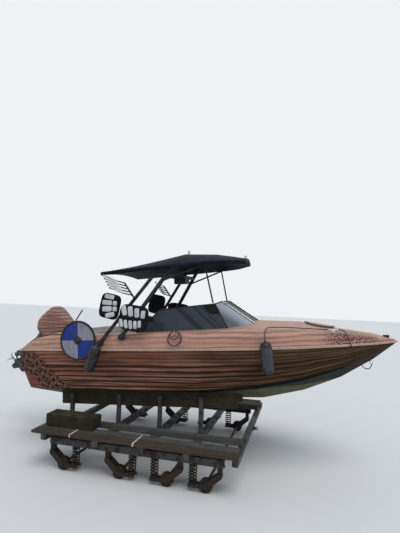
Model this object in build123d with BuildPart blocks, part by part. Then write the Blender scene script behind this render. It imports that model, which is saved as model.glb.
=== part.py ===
from build123d import *
import os
from math import atan2, cos, degrees, radians, sin, tan

os.makedirs("parts", exist_ok=True)

# Hull sizes, in the boat's own level frame: x forward of the transom, z above the keel line
hull_length = 7200
half_beam = 1250
sheer_height = 1115
lap_step = 9
stern_cut_height = 680
stern_cut_length = 200

# One row for each station: x, keel height, deadrise in degrees, chine and sheer as shares of
# the half beam, gunwale and deck centre as heights above the sheer
STATIONS = [
    (0, 0, 18.0, 0.816, 0.960, 35, 45),
    (300, 0, 18.0, 0.824, 0.968, 235, 245),
    (700, 0, 18.0, 0.832, 0.980, 310, 325),
    (1800, 0, 18.0, 0.848, 1.000, 275, 305),
    (3600, 0, 18.0, 0.840, 1.000, 310, 370),
    (4700, 20, 21.5, 0.768, 0.930, 355, 440),
    (5500, 190, 22.7, 0.592, 0.770, 300, 400),
    (6200, 450, 27.0, 0.360, 0.545, 212, 262),
    (6800, 790, 29.0, 0.160, 0.275, 108, 160),
    (hull_length, 1080, 45.0, 0.010, 0.020, 30, 42),
]
X, KEEL, DEADRISE, CHINE, SHEER, GUNWALE, CROWN = range(7)

# Height of each plank land, as a share of the side from the chine to the sheer
PLANK_LANDS = [0.09, 0.21, 0.34, 0.46, 0.59]

# Corners of the topside above the sheer: share of the sheer breadth, share of the gunwale height
TOPSIDE = [(1.0, 0.0), (0.985, 0.62), (0.945, 0.96), (0.90, 1.0)]

# Cockpit, splash well and locker
cockpit_aft = 800
cockpit_fore = 4210
cockpit_half_width = 900
sole_height = 430
sole_thickness = 20
well_length = 700
well_half_width = 560
well_floor = 790
locker_x = 5850
locker_length = 420
locker_width = 380
locker_floor = 1020
lid_thickness = 22
lid_overlap = 60
hinge_x = 6128
hinge_z = 1405
hinge_y = 80
hinge_pin_radius = 4
hinge_barrel_radius = 9

# Rub rail
rail_width = 28
rail_height = 36

# Fittings, in the boat's frame
pole_radius = 12
POLE = [(950, -1040), (1300, -1040, 1880)]
cleat_x = 6080
cleat_y = 600
bow_light_x = 7050
eye_x = 6740
eye_ring = 26
fender_radius = 100
fender_rounding = 70
FENDERS = {
    "fender_aft": ((1815, -1418, 1215), (1632, -1418, 735)),
    "fender_fore": ((4915, -1250, 1240), (4955, -1250, 700)),
}
ROPES = {
    "fender_line_fore": ([(4912.8, -1250, 1270.2), (4910, -1235, 1360), (4912, -1150, 1450),
                          (4960, -1060, 1487), (5500, -855, 1447), (5994.5, -600, 1389)], 16),
    "bow_line": ([(6165.5, -600, 1389), (6235, -622, 1388), (6300, -652, 1310),
                  (6335, -662, 1180), (6390, -615, 1040), (6450, -525, 900), (6515, -420, 770),
                  (6585, -300, 670), (6665, -190, 628), (6735, -100, 645), (6765, -30, 700)], 16),
    "fender_line_aft": ([(1825.8, -1418, 1243.3), (1842, -1404, 1292), (1888, -1275, 1352)], 16),
}
COIL_CENTRE = (3290, -1276, 1345)
coil_lean = 19.0
coil_radius = 136
coil_thickness = 34
peg_radius = 8
coil_out = Vector(0, -cos(radians(coil_lean)), sin(radians(coil_lean)))
coil_up = Vector(0, sin(radians(coil_lean)), cos(radians(coil_lean)))
VESTS = {
    "vest_fore": ((2230, 1305, 1450), (2950, 1425, 1960)),
    "vest_aft": ((1790, 1218, 1680), (2245, 1306, 2190)),
}
STRAPS = [(1, "vest_fore", 1800), (0, "vest_aft", 1730)]
strap_size = 50
rack_tines = 5
rack_x = 2010
rack_y = 1125.6
rack_z = 2480
rack_pitch_x = -35
rack_pitch_z = 60
tine_radius = 12

# How the boat sits on its carriage
trim = 4.0
keel_above_floor = 880
transom_x = -2920.08
seat_gap = 0.3
boat = Location((transom_x, 0, keel_above_floor), (0, -trim, 0))

# Windshield: base and top corners of each pane, starboard ones mirrored: x, y, height
pane_thickness = 8
SIDE_BASE = [(2350, 985), (4230, 870)]
SIDE_TOP = [(2860, 800, 1835), (3940, 720, 1915)]
FRONT_BASE = (4720, 440)
FRONT_TOP = (4010, 420, 1955)
windshield_rise = 60
frame_radius = 13

# Roof shell: x, half width, edge height, crown above the edge
ROOF = [
    (1650, 930, 2555, 60),
    (2300, 1010, 2585, 135),
    (3250, 1040, 2630, 275),
    (3900, 990, 2660, 200),
    (4200, 820, 2672, 135),
    (4520, 320, 2690, 55),
]
roof_thickness = 72
roof_edge_bulge = 14
roof_gap = 0.8

# Tower tubes: top and foot of each leg, on the starboard side as well
leg_radius = 34
main_leg_radius = 40
LEGS = [
    ((2990, 890, 2760), (1800, 1240), leg_radius),
    ((3240, 890, 2770), (2240, 1350), main_leg_radius),
]
foot_radius = 62
foot_thickness = 26
tower_bar_z = 2520
brace_z = 2390
BRACE_END = (4080, 868, 2760)
brace_radius = 18
STRUT = [(3905, 728, 1935), (3760, 800, 2800)]
strut_radius = 15
roof_box_half = 150
# Lamps: x of the roof section that carries it, radius and height
ROOF_LAMPS = [(3250, 28, 85), (4470, 32, 60)]

# Outboard, in its own upright frame: origin on the tilt tube, x forward, z up
tilt_x = -150
tilt_z = 925
tilt_rest = 50.0
tilt_tube_radius = 16
steer_x = -135
steer_radius = 20
barrel_radius = 52
barrel_top = 30
barrel_bottom = -420
running_clearance = 0.05
# Cowling sections from its base up: height, fore end, aft end and width
COWLING = [(190, -30, -640, 400), (300, 40, -730, 460), (560, 45, -745, 470), (740, -20, -720, 440),
           (840, -120, -640, 350)]
gearcase_z = -830
gearcase_radius = 58
plate_z = gearcase_z + 212
propeller_hub_radius = 50
propeller_hub_length = 150
propeller_blades = 3
# Blade: distance from the axis, chord, pitch angle and thickness
BLADE = [(30, 90, 40, 14), (110, 150, 55, 10), (190, 70, 66, 5)]
shaft_radius = 15
engine = boat * Location((tilt_x, 0, tilt_z), (0, tilt_rest, 0))

# Helm
dash_depth = 360
helm_x = cockpit_fore - dash_depth - 50
helm_y = -480
helm_z = 1240
helm_rake = -65.0
helm_radius = 175
helm_rim = 14
helm_shaft_radius = 18
helm_shaft_length = 170
helm = Location((helm_x, helm_y, helm_z), (0, helm_rake, 0))

# Carriage, in the floor frame: heights from the rails
wheel_radius = 112
wheel_tread_radius = 84
wheel_width = 90
axle_radius = 25
AXLES = [(1300, 1), (2390, 1), (3260, -1), (3940, -1)]
spring_offset = 230
spring_radius = 74
rail_track = 1600
channel_width = 120
channel_depth = 120
channel_bottom = 440
channel_aft = 1020
channel_fore = 4250
cross_size = 100
CROSS_X = [1000, 2010, 2850, 3650, 4450]
carriage_half_width = 1850
beam_offset = 1170
beam_width = 90
beam_aft = 750
beam_fore = 4460
bunk_aft = 750
bunk_fore = 4420
bunk_width = 100
upper_bunk_depth = 120
lower_bunk_depth = 130
lower_bunk_fore = 4320
bunk_offset = 850
post_size = 70
plank_thickness = 45
plank_width = 215
plank_gap = 12
lug_thickness = 20
lug_reach = 75
lug_hole_radius = 16
cross_bottom = channel_bottom + channel_depth
cross_top = cross_bottom + cross_size


# Value of one column of the station table at any x, on the straight line between two stations
def station_value(x, column):
    for aft, fore in zip(STATIONS, STATIONS[1:]):
        if x <= fore[X]:
            share = (x - aft[X]) / (fore[X] - aft[X])
            return aft[column] + share * (fore[column] - aft[column])
    return STATIONS[-1][column]


# Half breadth of the hull and topside at a place along the boat and a height
def side_breadth(x, height):
    sheer = half_beam * station_value(x, SHEER)
    if height >= sheer_height:
        rise = (height - sheer_height) / station_value(x, GUNWALE)
        for (low_y, low_z), (high_y, high_z) in zip(TOPSIDE, TOPSIDE[1:]):
            if rise <= high_z:
                share = (rise - low_z) / (high_z - low_z)
                return sheer * (low_y + share * (high_y - low_y))
        return sheer * TOPSIDE[-1][0]
    chine = half_beam * station_value(x, CHINE)
    chine_height = station_value(x, KEEL) + chine * tan(radians(station_value(x, DEADRISE)))
    share = (height - chine_height) / (sheer_height - chine_height)
    return chine + share * (sheer - chine) + lap_step


# Height of the deck's top at a place along and across the boat
def deck_height(x, y):
    edge = TOPSIDE[-1][0] * half_beam * station_value(x, SHEER)
    gunwale = sheer_height + station_value(x, GUNWALE)
    crown = sheer_height + station_value(x, CROWN)
    return gunwale + (crown - gunwale) * (1 - min(abs(y), edge) / edge)


# Top of the roof's centre line at any x along it
def roof_top(x):
    for aft, fore in zip(ROOF, ROOF[1:]):
        if aft[0] <= x <= fore[0]:
            share = (x - aft[0]) / (fore[0] - aft[0])
            crest = [section[2] + section[3] for section in (aft, fore)]
            return crest[0] + share * (crest[1] - crest[0]) + roof_thickness


# A straight round bar between two points
def bar(start, end, radius):
    run = Vector(*end) - Vector(*start)
    with Locations(Plane(origin=start, z_dir=run).location):
        Cylinder(radius, run.length, align=(Align.CENTER, Align.CENTER, Align.MIN))


# A bar bent through several points, with a ball at each bend
def bent_bar(points, radius):
    for start, end in zip(points, points[1:]):
        bar(start, end, radius)
    with Locations(*points[1:-1]):
        Sphere(radius)


# A flat bar or block between two corners
def block(low, high):
    with Locations(tuple((a + b) / 2 for a, b in zip(low, high))):
        Box(*(b - a for a, b in zip(low, high)))


# Starboard half of the topside's outline at a station, grown by a clearance
def topside_outline(row, grow):
    sheer = half_beam * row[SHEER]
    points = [(0, sheer_height + seat_gap - grow)]
    points += [(sheer * breadth + grow, sheer_height + seat_gap + rise * row[GUNWALE] + grow)
               for breadth, rise in TOPSIDE]
    points[1] = (points[1][0], points[0][1])
    return points + [(0, sheer_height + row[CROWN] + grow)]


# A round tube along straight runs with arcs as large as the runs allow; gives its path and radii
def swept_tube(points, radius):
    corners = [Vector(*point) for point in points]
    radii = []
    for before, corner, after in zip(corners, corners[1:], corners[2:]):
        turn = (corner - before).get_angle(after - corner)
        shorter = min((corner - before).length, (after - corner).length)
        radii.append(0.45 * shorter / tan(radians(turn / 2)))
    with BuildLine() as route:
        FilletPolyline(*corners, radius=radii)
    path = route.wire()
    with BuildSketch(Plane(origin=path @ 0, z_dir=path % 0)) as section:
        Circle(radius)
    sweep(sections=section.sketch, path=path)
    return path, radii


# A closed outline from its starboard half, mirrored across the centre line
def half_section(points):
    Polygon(*points, *[(-y, z) for y, z in reversed(points) if y > 0], align=None)


# Hull: lapped planks from the chine to the sheer, a V bottom, and a stern cut under
with BuildPart() as hull:
    for row in STATIONS:
        x, keel, deadrise, chine_share, sheer_share = row[:5]
        chine = half_beam * chine_share
        chine_height = keel + chine * tan(radians(deadrise))
        sheer = half_beam * sheer_share
        step = min(lap_step, sheer / 8)
        outline = [(0, keel), (chine, chine_height)]
        for land in PLANK_LANDS:
            y = chine + land * (sheer - chine)
            z = chine_height + land * (sheer_height - chine_height)
            outline += [(y, z), (y + step, z)]
        outline += [(sheer, sheer_height), (0, sheer_height)]
        with BuildSketch(Plane.YZ.offset(x)):
            half_section(outline)
    loft(ruled=True)
    with BuildSketch(Plane.XZ):
        with BuildLine():
            Polyline((0, stern_cut_height), (stern_cut_length, 0), (stern_cut_length, -10),
                     (-10, -10), (-10, stern_cut_height), close=True)
        make_face()
    extrude(amount=half_beam, both=True, mode=Mode.SUBTRACT)
    block_top = sheer_height + 100
    with Locations(((cockpit_aft + cockpit_fore) / 2, 0, (sole_height + block_top) / 2)):
        Box(cockpit_fore - cockpit_aft, 2 * cockpit_half_width, block_top - sole_height,
            mode=Mode.SUBTRACT)
    with Locations((well_length / 2 - 50, 0, (well_floor + block_top) / 2)):
        Box(well_length + 100, 2 * well_half_width, block_top - well_floor, mode=Mode.SUBTRACT)
    with Locations((locker_x, 0, (locker_floor + block_top) / 2)):
        Box(locker_length, locker_width, block_top - locker_floor, mode=Mode.SUBTRACT)
hull.part.label = "hull"
export_step(hull.part.moved(boat), "parts/hull.step")

# Space that the topside fills, grown by the gap at which fittings sit on it
with BuildPart() as deck_envelope:
    for row in STATIONS:
        with BuildSketch(Plane.YZ.offset(row[X])):
            half_section(topside_outline(row, seat_gap))
    loft(ruled=True)

# Deck: topsides with a soft crease, side decks and the crowned foredeck, in one moulding
with BuildPart() as deck:
    for row in STATIONS:
        with BuildSketch(Plane.YZ.offset(row[X])):
            half_section(topside_outline(row, 0))
    loft(ruled=True)
    deck_top = sheer_height + 600
    with Locations(((cockpit_aft + cockpit_fore) / 2, 0, deck_top)):
        Box(cockpit_fore - cockpit_aft, 2 * cockpit_half_width, 1400, mode=Mode.SUBTRACT)
    with Locations((well_length / 2 - 50, 0, deck_top)):
        Box(well_length + 100, 2 * well_half_width, 1400, mode=Mode.SUBTRACT)
    with Locations((locker_x, 0, deck_top)):
        Box(locker_length, locker_width, 1400, mode=Mode.SUBTRACT)
deck.part.label = "deck"
export_step(deck.part.moved(boat), "parts/deck.step")

# Rub rail: a moulding along the joint of hull and deck, round the stem
with BuildPart() as rub_rail:
    for row in STATIONS:
        inner = half_beam * row[SHEER] + seat_gap
        with BuildSketch(Plane.YZ.offset(row[X])):
            with Locations((inner, sheer_height)):
                Rectangle(rail_width, rail_height, align=(Align.MIN, Align.CENTER))
    loft(ruled=True)
    mirror(about=Plane.XZ)
    nose = half_beam * STATIONS[-1][SHEER] + seat_gap + rail_width
    block((hull_length + seat_gap, -nose, sheer_height - rail_height / 2),
          (hull_length + rail_width, nose, sheer_height + rail_height / 2))
rub_rail.part.label = "rub_rail"
export_step(rub_rail.part.moved(boat), "parts/rub_rail.step")

# Cockpit sole
with BuildPart() as sole:
    block((cockpit_aft + 5, -cockpit_half_width + 5, sole_height + seat_gap),
          (cockpit_fore - 5, cockpit_half_width - 5, sole_height + sole_thickness))
sole.part.label = "sole"
export_step(sole.part.moved(boat), "parts/sole.step")

# Dash: a raised console on each side of the walkway to the bow
dash_height = 1330
dash_aft = cockpit_fore - dash_depth
dash_inner = 190
dash_outer = 880
with BuildPart() as dash:
    with BuildSketch(Plane.XZ.offset(-dash_inner)):
        with BuildLine():
            Polyline((dash_aft + 120, sole_height + sole_thickness + seat_gap),
                     (dash_aft + 60, 1000), (dash_aft, 1130), (dash_aft + 110, dash_height),
                     (cockpit_fore - 30, dash_height + 40),
                     (cockpit_fore - 30, sole_height + sole_thickness + seat_gap), close=True)
        make_face()
    extrude(amount=-(dash_outer - dash_inner))
    mirror(about=Plane.XZ)
    with Locations(helm):
        Cylinder(helm_shaft_radius + running_clearance, helm_shaft_length + 2,
                 align=(Align.CENTER, Align.CENTER, Align.MAX), mode=Mode.SUBTRACT)
dash.part.label = "dash"
export_step(dash.part.moved(boat), "parts/dash.step")

# Helm: a steering wheel with three spokes, on a shaft end in the dash
with BuildPart() as helm_wheel:
    Cylinder(helm_shaft_radius, helm_shaft_length,
             align=(Align.CENTER, Align.CENTER, Align.MAX))
    Torus(helm_radius, helm_rim)
    Cylinder(38, 30)
    with PolarLocations(0, 3, start_angle=90):
        with Locations((helm_radius / 2, 0, 0)):
            Box(helm_radius, 26, 8)
helm_wheel.part.label = "helm_wheel"
export_step(helm_wheel.part.moved(boat * helm), "parts/helm_wheel.step")

# Seats: two bucket seats on pedestals, and a bench across the stern
seat_x = dash_aft - 770
seat_y = 480
seat_width = 520
seat_base = 985
cushion_top = seat_base + 135
backrest_top = seat_base + 775
with BuildPart() as seats:
    with BuildSketch(Plane.XZ.offset(-(seat_y - seat_width / 2))):
        with BuildLine():
            Polyline((seat_x - 200, seat_base + seat_gap), (seat_x + 260, seat_base + seat_gap),
                     (seat_x + 270, cushion_top),
                     (seat_x - 90, cushion_top - 10), (seat_x - 190, backrest_top),
                     (seat_x - 290, backrest_top - 20), (seat_x - 270, seat_base + 75),
                     close=True)
        make_face()
    extrude(amount=-seat_width)
    mirror(about=Plane.XZ)
seats.part.label = "seats"
export_step(seats.part.moved(boat), "parts/seats.step")

with BuildPart() as seat_posts:
    with Locations((seat_x, seat_y, sole_height + sole_thickness + seat_gap),
                   (seat_x, -seat_y, sole_height + sole_thickness + seat_gap)):
        Cylinder(150, 20, align=(Align.CENTER, Align.CENTER, Align.MIN))
        Cylinder(45, seat_base - sole_height - sole_thickness - seat_gap,
                 align=(Align.CENTER, Align.CENTER, Align.MIN))
seat_posts.part.label = "seat_posts"
export_step(seat_posts.part.moved(boat), "parts/seat_posts.step")

with BuildPart() as stern_bench:
    with BuildSketch(Plane.XZ):
        with BuildLine():
            Polyline((cockpit_aft + 10, sole_height + sole_thickness + seat_gap),
                     (cockpit_aft + 520, sole_height + sole_thickness + seat_gap),
                     (cockpit_aft + 560, 860), (cockpit_aft + 170, 840),
                     (cockpit_aft + 100, 1330), (cockpit_aft + 10, 1350), close=True)
        make_face()
    extrude(amount=cockpit_half_width - 20, both=True)
stern_bench.part.label = "stern_bench"
export_step(stern_bench.part.moved(boat), "parts/stern_bench.step")


# Windshield: five panes, each let down to the deck from a top rail
def glass_foot(x, y):
    return (x, y, deck_height(x, y) - windshield_rise)


def pane(foot_start, foot_end, top_start, top_end):
    edges = []
    for start, end in ((foot_start, foot_end), (top_start, top_end)):
        run = Vector(*end) - Vector(*start)
        across = Vector(-run.Y, run.X, 0).normalized()
        with BuildSketch(Plane(origin=start, x_dir=run, z_dir=run.cross(across))) as edge:
            Rectangle(run.length, pane_thickness, align=(Align.MIN, Align.CENTER))
        edges.append(edge.sketch)
    loft(sections=edges, ruled=True)


side_feet = [glass_foot(x, y) for x, y in SIDE_BASE]
front_foot = glass_foot(*FRONT_BASE)
with BuildPart() as side_glass:
    pane(side_feet[0], side_feet[1], SIDE_TOP[0], SIDE_TOP[1])
    mirror(about=Plane.XZ)
    add(deck_envelope.part, mode=Mode.SUBTRACT)
side_glass.part.label = "side_glass"
export_step(side_glass.part.moved(boat), "parts/side_glass.step")

with BuildPart() as corner_glass:
    pane(side_feet[1], front_foot, SIDE_TOP[1], FRONT_TOP)
    mirror(about=Plane.XZ)
    add(deck_envelope.part, mode=Mode.SUBTRACT)
    add(side_glass.part, mode=Mode.SUBTRACT)
corner_glass.part.label = "corner_glass"
export_step(corner_glass.part.moved(boat), "parts/corner_glass.step")

with BuildPart() as front_glass:
    port_foot = (front_foot[0], -front_foot[1], front_foot[2])
    port_top = (FRONT_TOP[0], -FRONT_TOP[1], FRONT_TOP[2])
    pane(front_foot, port_foot, FRONT_TOP, port_top)
    add(deck_envelope.part, mode=Mode.SUBTRACT)
    add(corner_glass.part, mode=Mode.SUBTRACT)
front_glass.part.label = "front_glass"
export_step(front_glass.part.moved(boat), "parts/front_glass.step")

# Windshield frame: a tube round the top of the panes and down each corner, grooved for them
with BuildPart() as windshield_frame:
    bent_bar([side_feet[0], SIDE_TOP[0], SIDE_TOP[1], FRONT_TOP, port_top], frame_radius)
    bar(SIDE_TOP[1], side_feet[1], frame_radius)
    bar(FRONT_TOP, front_foot, frame_radius)
    mirror(about=Plane.XZ)
    add(deck_envelope.part, mode=Mode.SUBTRACT)
    add(side_glass.part, mode=Mode.SUBTRACT)
    add(corner_glass.part, mode=Mode.SUBTRACT)
    add(front_glass.part, mode=Mode.SUBTRACT)
windshield_frame.part.label = "windshield_frame"
export_step(windshield_frame.part.moved(boat), "parts/windshield_frame.step")

# Space that the roof fills and what is above it, grown by the gap at which tubes meet it
with BuildPart() as roof_envelope:
    for x, half_width, edge, crown in ROOF:
        with BuildSketch(Plane.YZ.offset(x)):
            with BuildLine():
                ThreePointArc((-half_width, edge - roof_gap), (0, edge + crown - roof_gap),
                              (half_width, edge - roof_gap))
                Polyline((half_width, edge - roof_gap), (half_width, edge + 900),
                         (-half_width, edge + 900), (-half_width, edge - roof_gap))
            make_face()
    loft(ruled=True)

# Roof: a thin crowned shell, narrow at its nose
with BuildPart() as roof:
    for x, half_width, edge, crown in ROOF:
        with BuildSketch(Plane.YZ.offset(x)):
            with BuildLine():
                ThreePointArc((-half_width, edge), (0, edge + crown), (half_width, edge))
                ThreePointArc((half_width, edge), (half_width + roof_edge_bulge, edge + roof_thickness * 0.45),
                              (half_width - roof_edge_bulge, edge + roof_thickness))
                ThreePointArc((half_width - roof_edge_bulge, edge + roof_thickness),
                              (0, edge + crown + roof_thickness),
                              (roof_edge_bulge - half_width, edge + roof_thickness))
                ThreePointArc((roof_edge_bulge - half_width, edge + roof_thickness),
                              (-half_width - roof_edge_bulge, edge + roof_thickness * 0.45),
                              (-half_width, edge))
            make_face()
    loft(ruled=True)
roof.part.label = "roof"
export_step(roof.part.moved(boat), "parts/roof.step")

# Foot of a leg's tube, standing off the topside by its plate
def leg_foot(leg):
    top, (foot_x, foot_z), radius = leg
    plate_y = side_breadth(foot_x, foot_z - foot_radius) + seat_gap
    return (foot_x, plate_y + foot_thickness + radius - 8, foot_z)


# Point on a leg's centre line at a height
def leg_point(leg, height):
    foot, top = Vector(*leg_foot(leg)), Vector(*leg[0])
    return foot + (top - foot) * ((height - foot.Z) / (top.Z - foot.Z))


# Tower: two legs on each side with foot plates, a brace, and tubes across under the roof
with BuildPart() as tower:
    for leg in LEGS:
        top, (foot_x, foot_z), radius = leg
        foot = leg_foot(leg)
        bar(top, foot, radius)
        with Locations(Plane(origin=foot, z_dir=(0, -1, 0)).location):
            Cylinder(foot_radius, foot_thickness + radius - 8,
                     align=(Align.CENTER, Align.CENTER, Align.MIN))
        cross = leg_point(leg, tower_bar_z)
        bar((cross.X, -cross.Y, cross.Z), (cross.X, cross.Y, cross.Z), radius - 6)
    bar(tuple(leg_point(LEGS[0], tower_bar_z)), tuple(leg_point(LEGS[1], tower_bar_z)),
        leg_radius - 6)
    bar(tuple(leg_point(LEGS[1], brace_z)), BRACE_END, brace_radius)
    mirror(about=Plane.XZ)
    add(roof_envelope.part, mode=Mode.SUBTRACT)
    add(deck_envelope.part, mode=Mode.SUBTRACT)
tower.part.label = "tower"
export_step(tower.part.moved(boat), "parts/tower.step")

# Front struts from the windshield's top rail up to the roof
with BuildPart() as front_struts:
    bar(STRUT[0], STRUT[1], strut_radius)
    mirror(about=Plane.XZ)
    add(roof_envelope.part, mode=Mode.SUBTRACT)
    add(windshield_frame.part, mode=Mode.SUBTRACT)
front_struts.part.label = "front_struts"
export_step(front_struts.part.moved(boat), "parts/front_struts.step")

# Overhead box hung on the tower's rear cross tube
with BuildPart() as roof_box:
    box_x = leg_point(LEGS[1], tower_bar_z).X
    box_top = tower_bar_z - main_leg_radius + 6 - seat_gap
    block((box_x - 120, -roof_box_half, box_top - 130), (box_x + 130, roof_box_half, box_top))
roof_box.part.label = "roof_box"
export_step(roof_box.part.moved(boat), "parts/roof_box.step")

# Lamps on the roof: an all-round light on the crown and a lamp on the nose
with BuildPart() as roof_lamps:
    for lamp_x, lamp_radius, lamp_height in ROOF_LAMPS:
        with Locations((lamp_x, 0, roof_top(lamp_x) - 30)):
            Cylinder(lamp_radius, lamp_height + 30,
                     align=(Align.CENTER, Align.CENTER, Align.MIN))
    add(roof.part, mode=Mode.SUBTRACT)
roof_lamps.part.label = "roof_lamps"
export_step(roof_lamps.part.moved(boat), "parts/roof_lamps.step")

# Foredeck hatch lid, of the deck's own slope, with two hinge barrels at its front edge
hinge_axes = [Plane(origin=(hinge_x, side * hinge_y, hinge_z), z_dir=(0, 1, 0)).location
              for side in (-1, 1)]
with BuildPart() as hatch_lid:
    with BuildSketch(Plane.XY.offset(sheer_height + 100)):
        with Locations((locker_x, 0)):
            Ellipse(locker_length / 2 + lid_overlap, locker_width / 2 + lid_overlap)
    extrude(amount=600)
    add(deck_envelope.part.moved(Location((0, 0, lid_thickness))), mode=Mode.INTERSECT)
    add(deck_envelope.part, mode=Mode.SUBTRACT)
    with Locations((hinge_x + 70, 0, hinge_z)):
        Box(200, locker_width, 200, mode=Mode.SUBTRACT)
    with Locations(*hinge_axes):
        Cylinder(hinge_barrel_radius, 56)
    for side in (-1, 1):
        block((hinge_x - 50, side * hinge_y - 28, hinge_z - 6),
              (hinge_x, side * hinge_y + 28, hinge_z + 5))
    with Locations(*hinge_axes):
        Cylinder(hinge_pin_radius + running_clearance, 60, mode=Mode.SUBTRACT)
hatch_lid.part.label = "hatch_lid"
export_step(hatch_lid.part.moved(boat), "parts/hatch_lid.step")

# Hatch hinges: a pin through each barrel, held by a lug at each end
with BuildPart() as hatch_hinges:
    with Locations(*hinge_axes):
        Cylinder(hinge_pin_radius, 84)
    for side in (-1, 1):
        for end in (-1, 1):
            lug_y = side * hinge_y + end * 37
            block((hinge_x - 10, lug_y - 5, hinge_z - 60), (hinge_x + 14, lug_y + 5, hinge_z + 8))
    add(deck_envelope.part, mode=Mode.SUBTRACT)
hatch_hinges.part.label = "hatch_hinges"
export_step(hatch_hinges.part.moved(boat), "parts/hatch_hinges.step")

# Clamp bracket: two ears hooked over the transom, with the tilt tube between them
ear_thickness = 26
ear_y = 105
with BuildPart() as clamp_bracket:
    with BuildSketch(Plane.XZ.offset(-ear_y)):
        with BuildLine():
            Polyline((-seat_gap, well_floor - 190), (-60, well_floor - 190),
                     (tilt_x - 45, tilt_z - 40), (tilt_x - 20, tilt_z + 40),
                     (tilt_x + 60, tilt_z + 45), (70, well_floor + 40),
                     (70, well_floor + seat_gap), (-seat_gap, well_floor + seat_gap), close=True)
        make_face()
    extrude(amount=-ear_thickness)
    mirror(about=Plane.XZ)
    with Locations(Plane(origin=(tilt_x, 0, tilt_z), z_dir=(0, 1, 0)).location):
        Cylinder(tilt_tube_radius, 2 * ear_y + 2 * ear_thickness + 30)
clamp_bracket.part.label = "clamp_bracket"
export_step(clamp_bracket.part.moved(boat), "parts/clamp_bracket.step")

# Swivel bracket: a sleeve on the tilt tube and the barrel that holds the steering shaft
across = Plane(origin=(0, 0, 0), z_dir=(0, 1, 0)).location
with BuildPart() as swivel_bracket:
    with Locations(across):
        Cylinder(42, 2 * ear_y - 8)
    block((steer_x, -60, -45), (0, 60, barrel_top))
    with Locations((steer_x, 0, barrel_bottom)):
        Cylinder(barrel_radius, barrel_top - barrel_bottom,
                 align=(Align.CENTER, Align.CENTER, Align.MIN))
    with Locations(across):
        Cylinder(tilt_tube_radius + running_clearance, 300, mode=Mode.SUBTRACT)
    with Locations((steer_x, 0, barrel_bottom)):
        Cylinder(steer_radius + running_clearance, 1000, mode=Mode.SUBTRACT)
swivel_bracket.part.label = "swivel_bracket"
export_step(swivel_bracket.part.moved(engine), "parts/swivel_bracket.step")

# Leg: steering shaft with its two yokes, midsection, plate, gearcase and skeg
leg_fore = steer_x - barrel_radius - 12
leg_aft = leg_fore - 250
yoke_gap = 3
with BuildPart() as engine_leg:
    with Locations((steer_x, 0, barrel_bottom - 30)):
        Cylinder(steer_radius, barrel_top - barrel_bottom + 60,
                 align=(Align.CENTER, Align.CENTER, Align.MIN))
    block((leg_fore - 20, -60, barrel_top + yoke_gap), (steer_x + 50, 60, barrel_top + 45))
    block((leg_fore - 20, -50, barrel_bottom - 50), (steer_x + 45, 50, barrel_bottom - yoke_gap))
    for height, length, width in ((COWLING[0][0] - seat_gap, 360, 300), (barrel_top + 60, 330, 280),
                                  (-300, 250, 150), (plate_z, 230, 110)):
        with BuildSketch(Plane.XY.offset(height)):
            with Locations((leg_fore - length / 2, 0)):
                Ellipse(length / 2, width / 2)
    loft(ruled=True)
    for height, length in ((plate_z + 5, 230), (gearcase_z, 200)):
        with BuildSketch(Plane.XY.offset(height)):
            with Locations((leg_fore - 120, 0)):
                Ellipse(length / 2, 34)
    loft(ruled=True)
    block((leg_aft - 110, -120, plate_z), (leg_fore + 10, 120, plate_z + 12))
    with Locations(Plane(origin=(leg_aft - 10, 0, gearcase_z), z_dir=(1, 0, 0)).location):
        Cylinder(gearcase_radius, 300, align=(Align.CENTER, Align.CENTER, Align.MIN))
    with Locations((leg_aft + 290, 0, gearcase_z)):
        Sphere(gearcase_radius)
    with Locations(Plane(origin=(leg_aft - 10, 0, gearcase_z), z_dir=(-1, 0, 0)).location):
        Cylinder(shaft_radius, propeller_hub_length + 40,
                 align=(Align.CENTER, Align.CENTER, Align.MIN))
    with BuildSketch(Plane.XZ):
        with BuildLine():
            Polyline((leg_fore - 20, gearcase_z), (leg_aft + 10, gearcase_z),
                     (leg_aft + 20, gearcase_z - 190), (leg_aft + 110, gearcase_z - 190),
                     close=True)
        make_face()
    extrude(amount=9, both=True)
engine_leg.part.label = "engine_leg"
export_step(engine_leg.part.moved(engine), "parts/engine_leg.step")

# Cowling: a rounded cover over the power head
with BuildPart() as cowling:
    for height, fore, aft, width in COWLING:
        with BuildSketch(Plane.XY.offset(height)):
            with Locations(((fore + aft) / 2, 0)):
                RectangleRounded(fore - aft, width, width * 0.4)
    loft()
    fillet(cowling.faces().sort_by(Axis.Z)[-1].edges(), radius=40)
cowling.part.label = "cowling"
export_step(cowling.part.moved(engine), "parts/cowling.step")

# Propeller: a hub with three pitched blades
prop_x = leg_aft - 14
with BuildPart() as propeller:
    with Locations(Plane(origin=(prop_x, 0, gearcase_z), z_dir=(-1, 0, 0)).location):
        Cylinder(propeller_hub_radius, propeller_hub_length,
                 align=(Align.CENTER, Align.CENTER, Align.MIN))
    for index in range(propeller_blades):
        angle = 360 * index / propeller_blades
        spin = Location((prop_x - propeller_hub_length / 2, 0, gearcase_z), (angle, 0, 0))
        blade = []
        for radius, chord, pitch, thickness in BLADE:
            level = Plane(origin=(0, 0, radius), x_dir=(cos(radians(pitch)), sin(radians(pitch)), 0),
                          z_dir=(0, 0, 1))
            with BuildSketch(level, mode=Mode.PRIVATE) as section:
                Rectangle(chord, thickness)
            blade.append(section.sketch.moved(spin))
        loft(sections=blade, ruled=True)
    with Locations(Plane(origin=(prop_x + 10, 0, gearcase_z), z_dir=(-1, 0, 0)).location):
        Cylinder(shaft_radius + running_clearance, 400,
                 align=(Align.CENTER, Align.CENTER, Align.MIN), mode=Mode.SUBTRACT)
propeller.part.label = "propeller"
export_step(propeller.part.moved(engine), "parts/propeller.step")

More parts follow.
